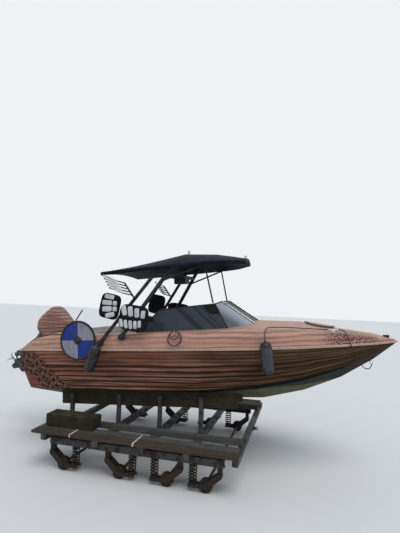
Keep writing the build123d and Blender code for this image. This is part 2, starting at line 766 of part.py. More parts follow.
# Carriage bunks: two timbers on each side along the hull's bottom, the upper cut to its slope
with BuildPart() as bunks:
    slope = tan(radians(STATIONS[0][DEADRISE]))
    inner = bunk_offset - bunk_width / 2
    outer = bunk_offset + bunk_width / 2
    top = inner * slope - seat_gap / cos(radians(STATIONS[0][DEADRISE]))
    joint = top - upper_bunk_depth
    with BuildSketch(Plane.YZ.offset(bunk_aft)):
        with BuildLine():
            Polyline((inner, top), (outer, top + bunk_width * slope), (outer, joint), (inner, joint),
                     close=True)
        make_face()
    extrude(amount=bunk_fore - bunk_aft)
    block((bunk_aft, inner + 4, joint - lower_bunk_depth), (lower_bunk_fore, outer, joint - seat_gap))
    mirror(about=Plane.XZ)
bunks.part.label = "bunks"
export_step(bunks.part.moved(boat), "parts/bunks.step")


# Height in the floor frame of a point of the boat that lies above a place x of the floor frame
def floor_height(x, boat_height):
    along = (x + boat_height * sin(radians(trim))) / cos(radians(trim))
    return keel_above_floor + along * sin(radians(trim)) + boat_height * cos(radians(trim))


ground = Location((transom_x, 0, 0))
post_top = (bunk_offset - bunk_width / 2) * slope - 40
with BuildPart() as bunk_posts:
    for x in CROSS_X[:4]:
        low = (x - post_size / 2, bunk_offset + bunk_width / 2 + seat_gap, cross_top)
        high = (x + post_size / 2, bunk_offset + bunk_width / 2 + seat_gap + post_size,
                floor_height(x, post_top))
        block(low, high)
    mirror(about=Plane.XZ)
bunk_posts.part.label = "bunk_posts"
export_step(bunk_posts.part.moved(ground), "parts/bunk_posts.step")

with BuildPart() as channels:
    block((channel_aft, rail_track - channel_width / 2, channel_bottom),
          (channel_fore, rail_track + channel_width / 2, channel_bottom + channel_depth))
    mirror(about=Plane.XZ)
channels.part.label = "channels"
export_step(channels.part.moved(ground), "parts/channels.step")

with BuildPart() as cross_members:
    for x in CROSS_X:
        block((x - cross_size / 2, -carriage_half_width, cross_bottom),
              (x + cross_size / 2, carriage_half_width, cross_top))
cross_members.part.label = "cross_members"
export_step(cross_members.part.moved(ground), "parts/cross_members.step")

with BuildPart() as long_beams:
    block((beam_aft, beam_offset - beam_width / 2, cross_top),
          (beam_fore, beam_offset + beam_width / 2, cross_top + 100))
    mirror(about=Plane.XZ)
long_beams.part.label = "long_beams"
export_step(long_beams.part.moved(ground), "parts/long_beams.step")

with BuildPart() as walkway:
    for index in range(2):
        outer_y = carriage_half_width - index * (plank_width + plank_gap)
        block((beam_aft, outer_y - plank_width, cross_top),
              (beam_fore, outer_y, cross_top + plank_thickness))
    mirror(about=Plane.XZ)
walkway.part.label = "walkway"
export_step(walkway.part.moved(ground), "parts/walkway.step")

# Axles: each a shaft across the carriage with a spool wheel near each end
arm_inner = wheel_width / 2 + 14
arm_thickness = 16
arm_outer = arm_inner + arm_thickness
for number, (axle_x, spring_side) in enumerate(AXLES, start=1):
    with BuildPart() as axle:
        with Locations(Plane(origin=(axle_x, 0, wheel_radius), z_dir=(0, 1, 0)).location):
            Cylinder(axle_radius, 2 * (rail_track + arm_outer + 20))
        for side in (-1, 1):
            hub = Plane(origin=(axle_x, side * rail_track, wheel_radius), z_dir=(0, 1, 0))
            with Locations(hub.location):
                Cylinder(wheel_tread_radius, wheel_width)
            for rim in (-1, 1):
                flange = hub.offset(rim * (wheel_width / 2 - 9))
                with Locations(flange.location):
                    Cylinder(wheel_radius, 18)
    axle.part.label = f"axle_{number}"
    export_step(axle.part.moved(ground), f"parts/axle_{number}.step")

# Suspension arms: two plates beside each wheel, joined at the hanger's pivot and spring pad
pad_height = 118
pivot_height = 300
pivot_radius = 20
with BuildPart() as arms:
    for axle_x, spring_side in AXLES:
        pivot_x = axle_x - spring_side * spring_offset
        spring_x = axle_x + spring_side * spring_offset
        for side in (-1, 1):
            for cheek in (-1, 1):
                inside = side * rail_track + cheek * arm_inner
                outside = side * rail_track + cheek * arm_outer
                with BuildSketch(Plane.XZ.offset(-min(inside, outside))):
                    with BuildLine():
                        Polyline((pivot_x - spring_side * 36, pivot_height - 30),
                                 (pivot_x - spring_side * 36, pivot_height + 36),
                                 (pivot_x + spring_side * 30, pivot_height + 36),
                                 (axle_x + spring_side * 20, wheel_radius + 44),
                                 (spring_x - spring_side * 82, pad_height),
                                 (spring_x + spring_side * 64, pad_height),
                                 (spring_x + spring_side * 64, pad_height - 44),
                                 (axle_x + spring_side * 30, wheel_radius - 44),
                                 (axle_x - spring_side * 30, wheel_radius - 44), close=True)
                    make_face()
                extrude(amount=-arm_thickness)
            block((spring_x - 60, side * rail_track - arm_outer, pad_height - 18),
                  (spring_x + 60, side * rail_track + arm_outer, pad_height))
            pivot = Plane(origin=(pivot_x, side * rail_track, pivot_height), z_dir=(0, 1, 0))
            with Locations(pivot.location):
                Cylinder(pivot_radius, 2 * arm_outer)
        with Locations(Plane(origin=(axle_x, 0, wheel_radius), z_dir=(0, 1, 0)).location):
            Cylinder(axle_radius + running_clearance, 2 * carriage_half_width,
                     mode=Mode.SUBTRACT)
arms.part.label = "arms"
export_step(arms.part.moved(ground), "parts/arms.step")

# Hangers: blocks under the channels that hold the arms' pivots
with BuildPart() as hangers:
    for axle_x, spring_side in AXLES:
        pivot_x = axle_x - spring_side * spring_offset
        for side in (-1, 1):
            block((pivot_x - 35, side * rail_track - arm_inner + 8, pivot_height - 40),
                  (pivot_x + 35, side * rail_track + arm_inner - 8, channel_bottom))
            pivot = Plane(origin=(pivot_x, side * rail_track, pivot_height), z_dir=(0, 1, 0))
            with Locations(pivot.location):
                Cylinder(pivot_radius + seat_gap, 2 * arm_inner, mode=Mode.SUBTRACT)
hangers.part.label = "hangers"
export_step(hangers.part.moved(ground), "parts/hangers.step")

# Coil springs between the arms' pads and the channels, as ribbed columns of their outer shape
spring_turns = 5
with BuildPart() as springs:
    for axle_x, spring_side in AXLES:
        spring_x = axle_x + spring_side * spring_offset
        turn = (channel_bottom - pad_height - 2 * seat_gap) / spring_turns
        with BuildSketch(Plane.XZ.offset(-rail_track)) as outline:
            with BuildLine():
                points = [(0, pad_height + seat_gap)]
                for index in range(spring_turns):
                    z = pad_height + seat_gap + index * turn
                    points += [(spring_radius - 14, z), (spring_radius, z + turn / 2)]
                points += [(spring_radius - 14, channel_bottom - seat_gap),
                           (0, channel_bottom - seat_gap)]
                Polyline(*[(spring_x + r, z) for r, z in points], close=True)
            make_face()
        revolve(axis=Axis((spring_x, rail_track, 0), (0, 0, 1)))
    mirror(about=Plane.XZ)
springs.part.label = "springs"
export_step(springs.part.moved(ground), "parts/springs.step")

# Step block: a mossy timber on the near walkway at its stern end
with BuildPart() as step_block:
    floor_top = cross_top + plank_thickness + seat_gap
    block((beam_aft + 100, -beam_offset - 400, floor_top),
          (beam_aft + 1050, -beam_offset - 65, floor_top + 220))
step_block.part.label = "step_block"
export_step(step_block.part.moved(ground), "parts/step_block.step")

# Towing lug: an upright plate with an eye, on the front of the foremost cross member
lug_x = CROSS_X[-1] + cross_size / 2
with BuildPart() as tow_lug:
    block((lug_x + seat_gap, -60, cross_bottom + 10), (lug_x + 16, 60, cross_top - 10))
    block((lug_x + seat_gap, -lug_thickness / 2, cross_bottom + 20),
          (lug_x + lug_reach, lug_thickness / 2, cross_top - 20))
    eye = Plane(origin=(lug_x + lug_reach, 0, (cross_bottom + cross_top) / 2), z_dir=(0, 1, 0))
    with Locations(eye.location):
        Cylinder((cross_size - 40) / 2, lug_thickness)
        Cylinder(lug_hole_radius, 2 * lug_thickness, mode=Mode.SUBTRACT)
tow_lug.part.label = "tow_lug"
export_step(tow_lug.part.moved(ground), "parts/tow_lug.step")

# Round shields, hung on the topsides near the stern
shield_x = 1340
shield_z = 1298
shield_radius = 378
shield_thickness = 24
shield_stand = 9
with BuildPart() as shields:
    shield_y = side_breadth(shield_x, sheer_height) + rail_width + shield_stand
    with Locations(Plane(origin=(shield_x, -shield_y, shield_z), z_dir=(0, -1, 0)).location):
        Cylinder(shield_radius, shield_thickness, align=(Align.CENTER, Align.CENTER, Align.MIN))
        Cylinder(20, shield_stand + 40, align=(Align.CENTER, Align.CENTER, Align.MAX))
    with Locations(Plane(origin=(shield_x, -shield_y - shield_thickness, shield_z),
                         z_dir=(0, -1, 0)).location):
        Cone(62, 36, 34, align=(Align.CENTER, Align.CENTER, Align.MIN))
    mirror(about=Plane.XZ)
    add(deck_envelope.part, mode=Mode.SUBTRACT)
shields.part.label = "shields"
export_step(shields.part.moved(boat), "parts/shields.step")

# Stern pole: a thin staff on the aft deck
with BuildPart() as stern_pole:
    bar((POLE[0][0], POLE[0][1], deck_height(POLE[0][0], POLE[0][1]) - 20), POLE[1], pole_radius)
    add(deck_envelope.part, mode=Mode.SUBTRACT)
stern_pole.part.label = "stern_pole"
export_step(stern_pole.part.moved(boat), "parts/stern_pole.step")

# Cleats and bow light on the foredeck
with BuildPart() as cleats:
    base = deck_height(cleat_x, cleat_y)
    block((cleat_x - 25, cleat_y - 12, base - 15), (cleat_x + 25, cleat_y + 12, base + 32))
    bar((cleat_x - 85, cleat_y, base + 38), (cleat_x + 85, cleat_y, base + 38), 11)
    mirror(about=Plane.XZ)
    peg_at = Vector(*COIL_CENTRE) + coil_up * (coil_radius - coil_thickness - peg_radius - seat_gap)
    bar(tuple(peg_at + coil_out * 48), tuple(peg_at - coil_out * 140), peg_radius)
    add(deck_envelope.part, mode=Mode.SUBTRACT)
cleats.part.label = "cleats"
export_step(cleats.part.moved(boat), "parts/cleats.step")

with BuildPart() as bow_light:
    with BuildSketch(Plane.XY.offset(sheer_height)):
        with Locations((bow_light_x, 0)):
            Ellipse(56, 26)
    extrude(amount=deck_height(bow_light_x, 0) + 32 - sheer_height)
    add(deck_envelope.part, mode=Mode.SUBTRACT)
bow_light.part.label = "bow_light"
export_step(bow_light.part.moved(boat), "parts/bow_light.step")

# Bow eye: a ring on a plate, standing out of the stem
with BuildPart() as bow_eye:
    eye_keel = station_value(eye_x, KEEL)
    stem_run = Vector(STATIONS[8][X] - STATIONS[7][X], 0, STATIONS[8][KEEL] - STATIONS[7][KEEL])
    out = Vector(stem_run.Z, 0, -stem_run.X).normalized()
    root = Vector(eye_x, 0, eye_keel) + out * seat_gap
    with Locations(Plane(origin=root, z_dir=out).location):
        Cylinder(20, 16, align=(Align.CENTER, Align.CENTER, Align.MIN))
    with Locations(Plane(origin=root + out * (16 + eye_ring - 3), z_dir=(0, 1, 0)).location):
        Torus(eye_ring, 7)
bow_eye.part.label = "bow_eye"
export_step(bow_eye.part.moved(boat), "parts/bow_eye.step")

# Fenders: black aft and navy forward, each a long rounded air cushion with an eye at its top
fenders = []
for label, (top, bottom) in FENDERS.items():
    with BuildPart() as fender:
        run = (Vector(*bottom) - Vector(*top)).normalized()
        bar(top, bottom, fender_radius)
        fillet(fender.edges(), radius=fender_rounding)
        bar(tuple(Vector(*top) - run * 30), tuple(Vector(*top) + run * 10), 22)
    fenders.append(fender.part)
    fender.part.label = label
    export_step(fender.part.moved(boat), f"parts/{label}.step")

# Ropes: their routes are points in the boat's frame, on the starboard side
for label, (points, diameter) in ROPES.items():
    with BuildPart() as line:
        path, radii = swept_tube(points, diameter / 2)
        for fitting in (*fenders, cleats.part, bow_eye.part, tower.part):
            add(fitting, mode=Mode.SUBTRACT)
    print(label, "length", round(path.length), "radii", [round(radius) for radius in radii])
    line.part.label = label
    export_step(line.part.moved(boat), f"parts/{label}.step")

# Rope coil: a hank of turns hung against the topside
with BuildPart() as rope_coil:
    with Locations(Plane(origin=COIL_CENTRE, z_dir=coil_out).location):
        Torus(coil_radius, coil_thickness)
rope_coil.part.label = "rope_coil"
export_step(rope_coil.part.moved(boat), "parts/rope_coil.step")

# Life vests: soft foam pieces hung on the tower's legs by webbing loops
for label, (low, high) in VESTS.items():
    with BuildPart() as vest:
        block(low, high)
        fillet(vest.edges(), radius=30)
        mirror(about=Plane.XZ)
    vest.part.label = label
    export_step(vest.part.moved(boat), f"parts/{label}.step")

with BuildPart() as vest_straps:
    for leg, label, height in STRAPS:
        at = leg_point(LEGS[leg], height)
        block((at.X - strap_size / 2, at.Y, height - strap_size / 2),
              (at.X + strap_size / 2, VESTS[label][0][1] - seat_gap, height + strap_size / 2))
    mirror(about=Plane.XZ)
    add(tower.part, mode=Mode.SUBTRACT)
vest_straps.part.label = "vest_straps"
export_step(vest_straps.part.moved(boat), "parts/vest_straps.step")

# Board racks: two forks of curved tines on each side, beside the tower's rear leg
with BuildPart() as board_racks:
    for index in range(rack_tines):
        x, z = rack_x - index * rack_pitch_x, rack_z - index * rack_pitch_z
        swept_tube([(x + 260, rack_y, z - 110), (x + 90, rack_y + 40, z - 60),
                    (x - 40, rack_y + 150, z + 20), (x - 60, rack_y + 300, z + 40)], tine_radius)
    bar((rack_x + 250, rack_y, rack_z - 110),
        (rack_x + 270 - rack_tines * rack_pitch_x, rack_y, rack_z - 110 - rack_tines * rack_pitch_z), 17)
    mirror(about=Plane.XZ)
board_racks.part.label = "board_racks"
export_step(board_racks.part.moved(boat), "parts/board_racks.step")
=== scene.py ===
import math

import bmesh
import bpy
from mathutils import Matrix, Vector


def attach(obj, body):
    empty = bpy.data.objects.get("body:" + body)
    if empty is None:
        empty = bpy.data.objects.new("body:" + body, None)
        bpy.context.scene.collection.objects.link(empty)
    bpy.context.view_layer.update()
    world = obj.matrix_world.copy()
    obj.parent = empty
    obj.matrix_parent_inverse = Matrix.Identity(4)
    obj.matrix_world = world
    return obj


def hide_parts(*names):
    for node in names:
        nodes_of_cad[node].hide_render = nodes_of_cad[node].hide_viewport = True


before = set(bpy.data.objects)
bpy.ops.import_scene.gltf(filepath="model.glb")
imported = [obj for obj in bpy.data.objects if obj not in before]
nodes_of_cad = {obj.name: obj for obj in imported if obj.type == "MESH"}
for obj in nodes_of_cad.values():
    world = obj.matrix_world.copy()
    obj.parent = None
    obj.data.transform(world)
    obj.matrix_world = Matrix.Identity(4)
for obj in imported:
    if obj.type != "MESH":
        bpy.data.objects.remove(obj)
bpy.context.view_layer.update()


# Viewpoint. The picture was taken from low on the starboard side, a little forward of midships,
# with the horizon tipped by two degrees.
camera_place = Vector((2.5399, -8.2955, 3.2395))
look = Vector((-0.25304, 0.96502, 0.06865)).normalized()
tipped_up = Vector((-math.sin(math.radians(2.14)), 0, math.cos(math.radians(2.14))))
to_right = look.cross(tipped_up).normalized()
camera_up = to_right.cross(look)
lens = bpy.data.cameras.new("camera")
lens.lens = 27.23
lens.sensor_width = 36.0
lens.clip_end = 200
camera = bpy.data.objects.new("camera", lens)
bpy.context.scene.collection.objects.link(camera)
turned = Matrix((to_right, camera_up, -look)).transposed().to_4x4()
camera.matrix_world = Matrix.Translation(camera_place) @ turned
bpy.context.scene.camera = camera
bpy.context.scene.view_settings.view_transform = "Standard"


# Studio. An overcast sky from above, a broad soft lamp for shape, and a pale floor at the
# height of the rails.
def node(tree, kind, ins=None, **settings):
    made = tree.nodes.new("ShaderNode" + kind)
    for name, value in settings.items():
        setattr(made, name, value)
    for name, value in (ins or {}).items():
        socket = made.inputs[name]
        if isinstance(value, bpy.types.NodeSocket):
            tree.links.new(value, socket)
        else:
            socket.default_value = value
    return made


def shader(name, **values):
    made = bpy.data.materials.new(name)
    made.use_nodes = True
    tree = made.node_tree
    finish = tree.nodes["Principled BSDF"]
    for key, value in values.items():
        finish.inputs[key.replace("_", " ")].default_value = value
    return made, tree, finish


sky = bpy.data.worlds.new("sky")
bpy.context.scene.world = sky
sky.use_nodes = True
sky_tree = sky.node_tree
seen = node(sky_tree, "LightPath")
seen_or_glossy = node(sky_tree, "Math", {0: seen.outputs["Is Camera Ray"],
                                         1: seen.outputs["Is Glossy Ray"]}, operation="MAXIMUM")
seen_any = node(sky_tree, "Math", {0: seen_or_glossy.outputs[0],
                                   1: seen.outputs["Is Transmission Ray"]}, operation="MAXIMUM")
sky_colour = node(sky_tree, "Mix", {"Factor": seen_any.outputs[0], 6: (0.62, 0.66, 0.72, 1),
                                    7: (0.86, 0.89, 0.92, 1)}, data_type="RGBA")
sky_tree.links.new(sky_colour.outputs[2], sky_tree.nodes["Background"].inputs["Color"])
sky_tree.nodes["Background"].inputs["Strength"].default_value = 1.0

overcast = bpy.data.lights.new("overcast", "SUN")
overcast.energy = 1.5
overcast.angle = math.radians(35)
overcast_lamp = bpy.data.objects.new("overcast", overcast)
bpy.context.scene.collection.objects.link(overcast_lamp)
overcast_lamp.rotation_euler = Vector((-0.35, 0.45, -1.0)).to_track_quat("-Z", "Y").to_euler()

floor_mesh = bpy.data.meshes.new("floor")
floor_mesh.from_pydata([(-60, -60, 0), (60, -60, 0), (60, 60, 0), (-60, 60, 0)], [], [(0, 1, 2, 3)])
floor = bpy.data.objects.new("floor", floor_mesh)
bpy.context.scene.collection.objects.link(floor)
floor_paint = shader("floor_paint", Base_Color=(0.62, 0.63, 0.63, 1), Roughness=0.85)[0]
floor_mesh.materials.append(floor_paint)


# Boat frame. The boat is drawn level from its transom and keel, then lifted onto the carriage
# bow up by four degrees; every piece on it is placed through this matrix.
boat_place = Vector((-2.92008, 0, 0.88))
boat_pitch = math.radians(-4.0)
boat_frame = Matrix.Translation(boat_place) @ Matrix.Rotation(boat_pitch, 4, "Y")
hull_length = 7.2
sheer_height = 1.115


def group(name, inputs, outputs):
    made = bpy.data.node_groups.new(name, "ShaderNodeTree")
    for label, default in inputs.items():
        kind = "NodeSocketColor" if isinstance(default, tuple) else "NodeSocketFloat"
        made.interface.new_socket(label, in_out="INPUT", socket_type=kind).default_value = default
    for label, kind in outputs.items():
        made.interface.new_socket(label, in_out="OUTPUT", socket_type="NodeSocket" + kind)
    return made, made.nodes.new("NodeGroupInput"), made.nodes.new("NodeGroupOutput")


def math_node(tree, operation, first, second=0.0, clamp=False):
    made = node(tree, "Math", {0: first, 1: second}, operation=operation, use_clamp=clamp)
    return made.outputs[0]


def plus(tree, first, second):
    return math_node(tree, "ADD", first, second)


def minus(tree, first, second):
    return math_node(tree, "SUBTRACT", first, second)


def times(tree, product, *others):
    for other in others:
        product = math_node(tree, "MULTIPLY", product, other)
    return product


def largest(tree, most, *others):
    for other in others:
        most = math_node(tree, "MAXIMUM", most, other)
    return most


def apart(tree, value, place):
    return math_node(tree, "ABSOLUTE", minus(tree, value, place))


def over(tree, value, limit):
    return math_node(tree, "GREATER_THAN", value, limit)


def under(tree, value, limit):
    return math_node(tree, "LESS_THAN", value, limit)


def between(tree, value, low, high):
    return node(tree, "MapRange", {"Value": value, "From Min": low, "From Max": high},
                interpolation_type="SMOOTHSTEP").outputs[0]


def levels(tree, value, low, high, start=0.0, end=1.0):
    return node(tree, "MapRange", {"Value": value, "From Min": start, "From Max": end,
                                   "To Min": low, "To Max": high}).outputs[0]


def object_at(tree):
    return node(tree, "TexCoord").outputs["Object"]


def facing_up(tree):
    return node(tree, "SeparateXYZ", {0: node(tree, "TexCoord").outputs["Normal"]}).outputs[2]


def stretched(tree, scale):
    return node(tree, "Mapping", {"Vector": object_at(tree), "Scale": scale}).outputs[0]


def noise(tree, vector, scale, detail, rough=0.5, twist=0.0):
    return node(tree, "TexNoise", {"Vector": vector, "Scale": scale, "Detail": detail,
                                   "Roughness": rough, "Distortion": twist}).outputs[0]


def blend_colours(tree, share, first, second, how="MIX"):
    return node(tree, "Mix", {"Factor": share, 6: first, 7: second},
                data_type="RGBA", blend_type=how).outputs[2]


def show(tree, finish, colour=None, rough=None, height=None, depth=0.01, strength=1.0):
    if colour is not None:
        tree.links.new(colour, finish.inputs["Base Color"])
    if rough is not None:
        tree.links.new(rough, finish.inputs["Roughness"])
    if height is not None:
        bump = node(tree, "Bump", {"Height": height, "Distance": depth, "Strength": strength})
        tree.links.new(bump.outputs[0], finish.inputs["Normal"])


# Places on the hull: how far along the boat, how high up its side from the chine (0) to the
# sheer (1), how far out, and the height, all in metres in the boat frame.
def drawn_line(tree, along, points, low=-1.0, high=1.0):
    curve = node(tree, "FloatCurve", {"Value": math_node(tree, "DIVIDE", along, hull_length)})
    line = curve.mapping.curves[0]
    shares = [(x / hull_length, (rise - low) / (high - low)) for x, rise in points]
    for share in shares[1:-1]:
        line.points.new(*share)
    line.points[0].location = shares[0]
    line.points[-1].location = shares[-1]
    for point in line.points:
        point.handle_type = "VECTOR"
    curve.mapping.update()
    return plus(tree, times(tree, curve.outputs[0], high - low), low)


chine_rise = [(0.0, 0.331), (0.3, 0.335), (1.8, 0.344), (3.6, 0.341), (4.7, 0.398), (5.5, 0.500),
              (6.2, 0.679), (6.8, 0.901), (7.2, 1.093)]
hull_places, given, made_out = group("hull_places", {}, {"Along": "Float", "Side": "Float",
                                                         "Out": "Float", "Up": "Float"})
level = node(hull_places, "Mapping", {"Vector": object_at(hull_places), "Location": boat_place,
                                      "Rotation": (0, boat_pitch, 0)}, vector_type="TEXTURE")
along, outboard, up = node(hull_places, "SeparateXYZ", {0: level.outputs[0]}).outputs
chine = drawn_line(hull_places, along, chine_rise, 0.0, 1.2)
side = math_node(hull_places, "DIVIDE", minus(hull_places, up, chine),
                 minus(hull_places, sheer_height, chine))
for name, value in (("Along", along), ("Side", side), ("Out", outboard), ("Up", up)):
    hull_places.links.new(value, made_out.inputs[name])


def on_boat(tree):
    return node(tree, "Group", node_tree=hull_places).outputs


# Wood-look wrap: printed vinyl with a long grain, darker streaks and slow changes of tone.
wood_wrap, given, made_out = group(
    "wood_wrap",
    {"Along": 0.0, "Across": 0.0, "Pale": (0.3, 0.18, 0.13, 1), "Deep": (0.1, 0.06, 0.04, 1),
     "Warm": (0.28, 0.12, 0.07, 1), "Streak": 6.0, "Swirl": 0.5, "Lines": 0.4},
    {"Color": "Color", "Height": "Float", "Roughness": "Float"})
run = given.outputs
long_grain = node(wood_wrap, "CombineXYZ", {
    0: times(wood_wrap, run["Along"], 0.30),
    1: times(wood_wrap, run["Across"], run["Streak"])}).outputs[0]
wander = noise(wood_wrap, long_grain, 0.9, 3.0)
streaks = noise(wood_wrap, long_grain, 4.6, 7.0, 0.66, 0.3)
slow = node(wood_wrap, "CombineXYZ", {0: times(wood_wrap, run["Along"], 0.9),
                                      1: times(wood_wrap, run["Across"], 3.0)}).outputs[0]
rings = node(wood_wrap, "TexWave", {"Vector": slow, "Scale": 1.2, "Distortion": 5.0, "Detail": 3.0,
                                    "Detail Scale": 0.7, "Detail Roughness": 0.55},
             wave_type="BANDS", bands_direction="Y", wave_profile="SIN").outputs["Fac"]
grain = node(wood_wrap, "Mix", {"Factor": run["Swirl"], 2: streaks, 3: rings}).outputs[0]
wood = blend_colours(wood_wrap, between(wood_wrap, grain, 0.22, 0.68), run["Deep"], run["Pale"])
warmth = times(wood_wrap, between(wood_wrap, wander, 0.45, 0.66), 0.55)
wood = blend_colours(wood_wrap, warmth, wood, run["Warm"])
dark_lines = times(wood_wrap, between(wood_wrap, streaks, 0.42, 0.33), run["Lines"])
wood = blend_colours(wood_wrap, dark_lines, wood, run["Deep"])
wood_wrap.links.new(wood, made_out.inputs["Color"])
wood_wrap.links.new(grain, made_out.inputs["Height"])
wood_wrap.links.new(levels(wood_wrap, grain, 0.34, 0.52), made_out.inputs["Roughness"])


def wrapped(tree, along, across, pale, deep, warm, streak, swirl, lines=0.4):
    return node(tree, "Group", {"Along": along, "Across": across, "Pale": pale, "Deep": deep,
                                "Warm": warm, "Streak": streak, "Swirl": swirl, "Lines": lines},
                node_tree=wood_wrap).outputs


# Dirt and water marks: blotches with runs that hang down from them, used on every outdoor
# surface in its own amount.
marks, given, made_out = group("marks", {"Color": (0.5, 0.5, 0.5, 1), "Dirt": (0.1, 0.09, 0.07, 1),
                                         "Amount": 0.4, "Scale": 3.0},
                               {"Color": "Color", "Mask": "Float"})
run = given.outputs
blotch = noise(marks, object_at(marks), run["Scale"], 7.0, 0.62)
runs_down = noise(marks, stretched(marks, (6.0, 6.0, 0.7)), run["Scale"], 4.0)
dirt = math_node(marks, "ADD", between(marks, blotch, 0.45, 0.75),
                 between(marks, runs_down, 0.52, 0.8), clamp=True)
dirt = times(marks, dirt, run["Amount"])
marks.links.new(blend_colours(marks, dirt, run["Color"], run["Dirt"]), made_out.inputs["Color"])
marks.links.new(dirt, made_out.inputs["Mask"])


def dirtied(tree, colour, dirt, amount, scale):
    return node(tree, "Group", {"Color": colour, "Dirt": dirt, "Amount": amount, "Scale": scale},
                node_tree=marks).outputs


# Fine unevenness of sprayed, moulded or cast faces, and the plain painted finish that shows it
# under its dirt.
orange_peel, given, made_out = group("orange_peel", {"Scale": 60.0}, {"Height": "Float"})
bumps = noise(orange_peel, object_at(orange_peel), given.outputs["Scale"], 3.0)
orange_peel.links.new(bumps, made_out.inputs["Height"])


def peel(tree, scale):
    return node(tree, "Group", {"Scale": scale}, node_tree=orange_peel).outputs["Height"]


def painted(name, colour, dirt, amount, scale, rough=None, bumps=None, depth=0.001, **values):
    made, tree, finish = shader(name, **values)
    coat = dirtied(tree, colour, dirt, amount, scale)
    show(tree, finish, coat["Color"], rough and levels(tree, coat["Mask"], *rough),
         bumps and peel(tree, bumps), depth)
    return made


# Ropes. Black braided mooring rope of 16 mm: the fenders hang on it, the bow line falls from its
# cleat and comes up to the bow eye, and a few turns hang in a coil on the coaming.
def in_boat(points):
    return [boat_frame @ Vector(point) for point in points]


def rope_curve(name, points, thickness=0.016):
    data = bpy.data.curves.new(name, "CURVE")
    data.dimensions = "3D"
    spline = data.splines.new("NURBS")
    spline.points.add(len(points) - 1)
    for knot, point in zip(spline.points, points):
        knot.co = (*point, 1)
    spline.order_u = 3
    spline.use_endpoint_u = True
    data.resolution_u = 10
    data.bevel_depth = thickness / 2
    data.bevel_resolution = 4
    made = bpy.data.objects.new(name, data)
    bpy.context.scene.collection.objects.link(made)
    return made


def along_curve(made):
    bare = made.data.copy()
    bare.bevel_depth = 0
    holder = bpy.data.objects.new("bare", bare)
    mesh = bpy.data.meshes.new_from_object(holder)
    points = [vertex.co.copy() for vertex in mesh.vertices]
    bpy.data.meshes.remove(mesh)
    bpy.data.objects.remove(holder)
    bpy.data.curves.remove(bare)
    return points


def line_length(points):
    return sum((b - a).length for a, b in zip(points, points[1:]))


rope_black, tree, finish = shader("rope_black", Roughness=0.85)
strands = node(tree, "TexVoronoi", {"Vector": object_at(tree), "Scale": 190.0}).outputs["Distance"]
soft_black = blend_colours(tree, between(tree, strands, 0.1, 0.7), (0.03, 0.031, 0.034, 1),
                           (0.008, 0.008, 0.01, 1))
show(tree, finish, soft_black, height=strands, depth=0.0012)

rope_routes = {
    "fender_line_fore": [(4.9128, -1.25, 1.2702), (4.910, -1.235, 1.360), (4.912, -1.150, 1.450),
                         (4.960, -1.060, 1.487), (5.500, -0.855, 1.447), (5.9945, -0.600, 1.389)],
    "bow_line": [(6.1655, -0.600, 1.389), (6.235, -0.622, 1.388), (6.300, -0.652, 1.310),
                 (6.335, -0.662, 1.180), (6.390, -0.615, 1.040), (6.450, -0.525, 0.900),
                 (6.515, -0.420, 0.770), (6.585, -0.300, 0.670), (6.665, -0.190, 0.628),
                 (6.735, -0.100, 0.645), (6.765, -0.030, 0.700)],
    "fender_line_aft": [(1.8258, -1.418, 1.2433), (1.842, -1.404, 1.292), (1.888, -1.275, 1.352)],
}
for name, route in rope_routes.items():
    rope = rope_curve(name + "_rope", in_boat(route))
    rope.data.materials.append(rope_black)
    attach(rope, "root")
    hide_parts(name)
    line_length(along_curve(rope))


# Hull. Glass fibre, moulded with lapped planks and wrapped in wood-look vinyl; a dark boot top
# under the chine, widened toward the bow and carried up over the chine there as painted shadow
# of the flare, an olive antifouled bottom, a plaited panel printed at each stern corner, and
# pale gelcoat in the cockpit, splash well and locker.
def dress(material, *names):
    for name in names:
        held = nodes_of_cad[name].data.materials
        held.clear()
        held.append(material)


plait, given, made_out = group("plait", {"Along": 0.0, "Across": 0.0, "Strands": 9.0,
                                         "Width": 0.2, "Line": 0.06},
                               {"Mask": "Float", "Line": "Float"})
run = given.outputs
u = times(plait, run["Along"], run["Strands"])
v = times(plait, run["Across"], run["Strands"])
u = plus(plait, u, times(plait, math_node(plait, "SINE", times(plait, v, math.pi)), 0.22))
v = plus(plait, v, times(plait, math_node(plait, "SINE", times(plait, u, math.pi)), 0.22))
rising = plus(plait, u, v)
falling = minus(plait, u, v)
bodies, rims = [], []
for strand in (rising, falling):
    off = apart(plait, math_node(plait, "FRACT", strand), 0.5)
    bodies.append(under(plait, off, run["Width"]))
    rims.append(under(plait, apart(plait, off, run["Width"]), run["Line"]))
rising_on_top = math_node(plait, "PINGPONG", plus(plait, math_node(plait, "FLOOR", rising),
                                                  math_node(plait, "FLOOR", falling)), 1.0)
falling_on_top = minus(plait, 1.0, rising_on_top)
drawn = [times(plait, rims[own], minus(plait, 1.0, times(plait, bodies[1 - own], other_on_top)))
         for own, other_on_top in ((0, falling_on_top), (1, rising_on_top))]
plait.links.new(largest(plait, *drawn), made_out.inputs["Line"])
plait.links.new(largest(plait, *bodies), made_out.inputs["Mask"])


def plaited(tree, along, across, width, line):
    return node(tree, "Group", {"Along": along, "Across": across, "Strands": 6.0, "Width": width,
                                "Line": line}, node_tree=plait).outputs


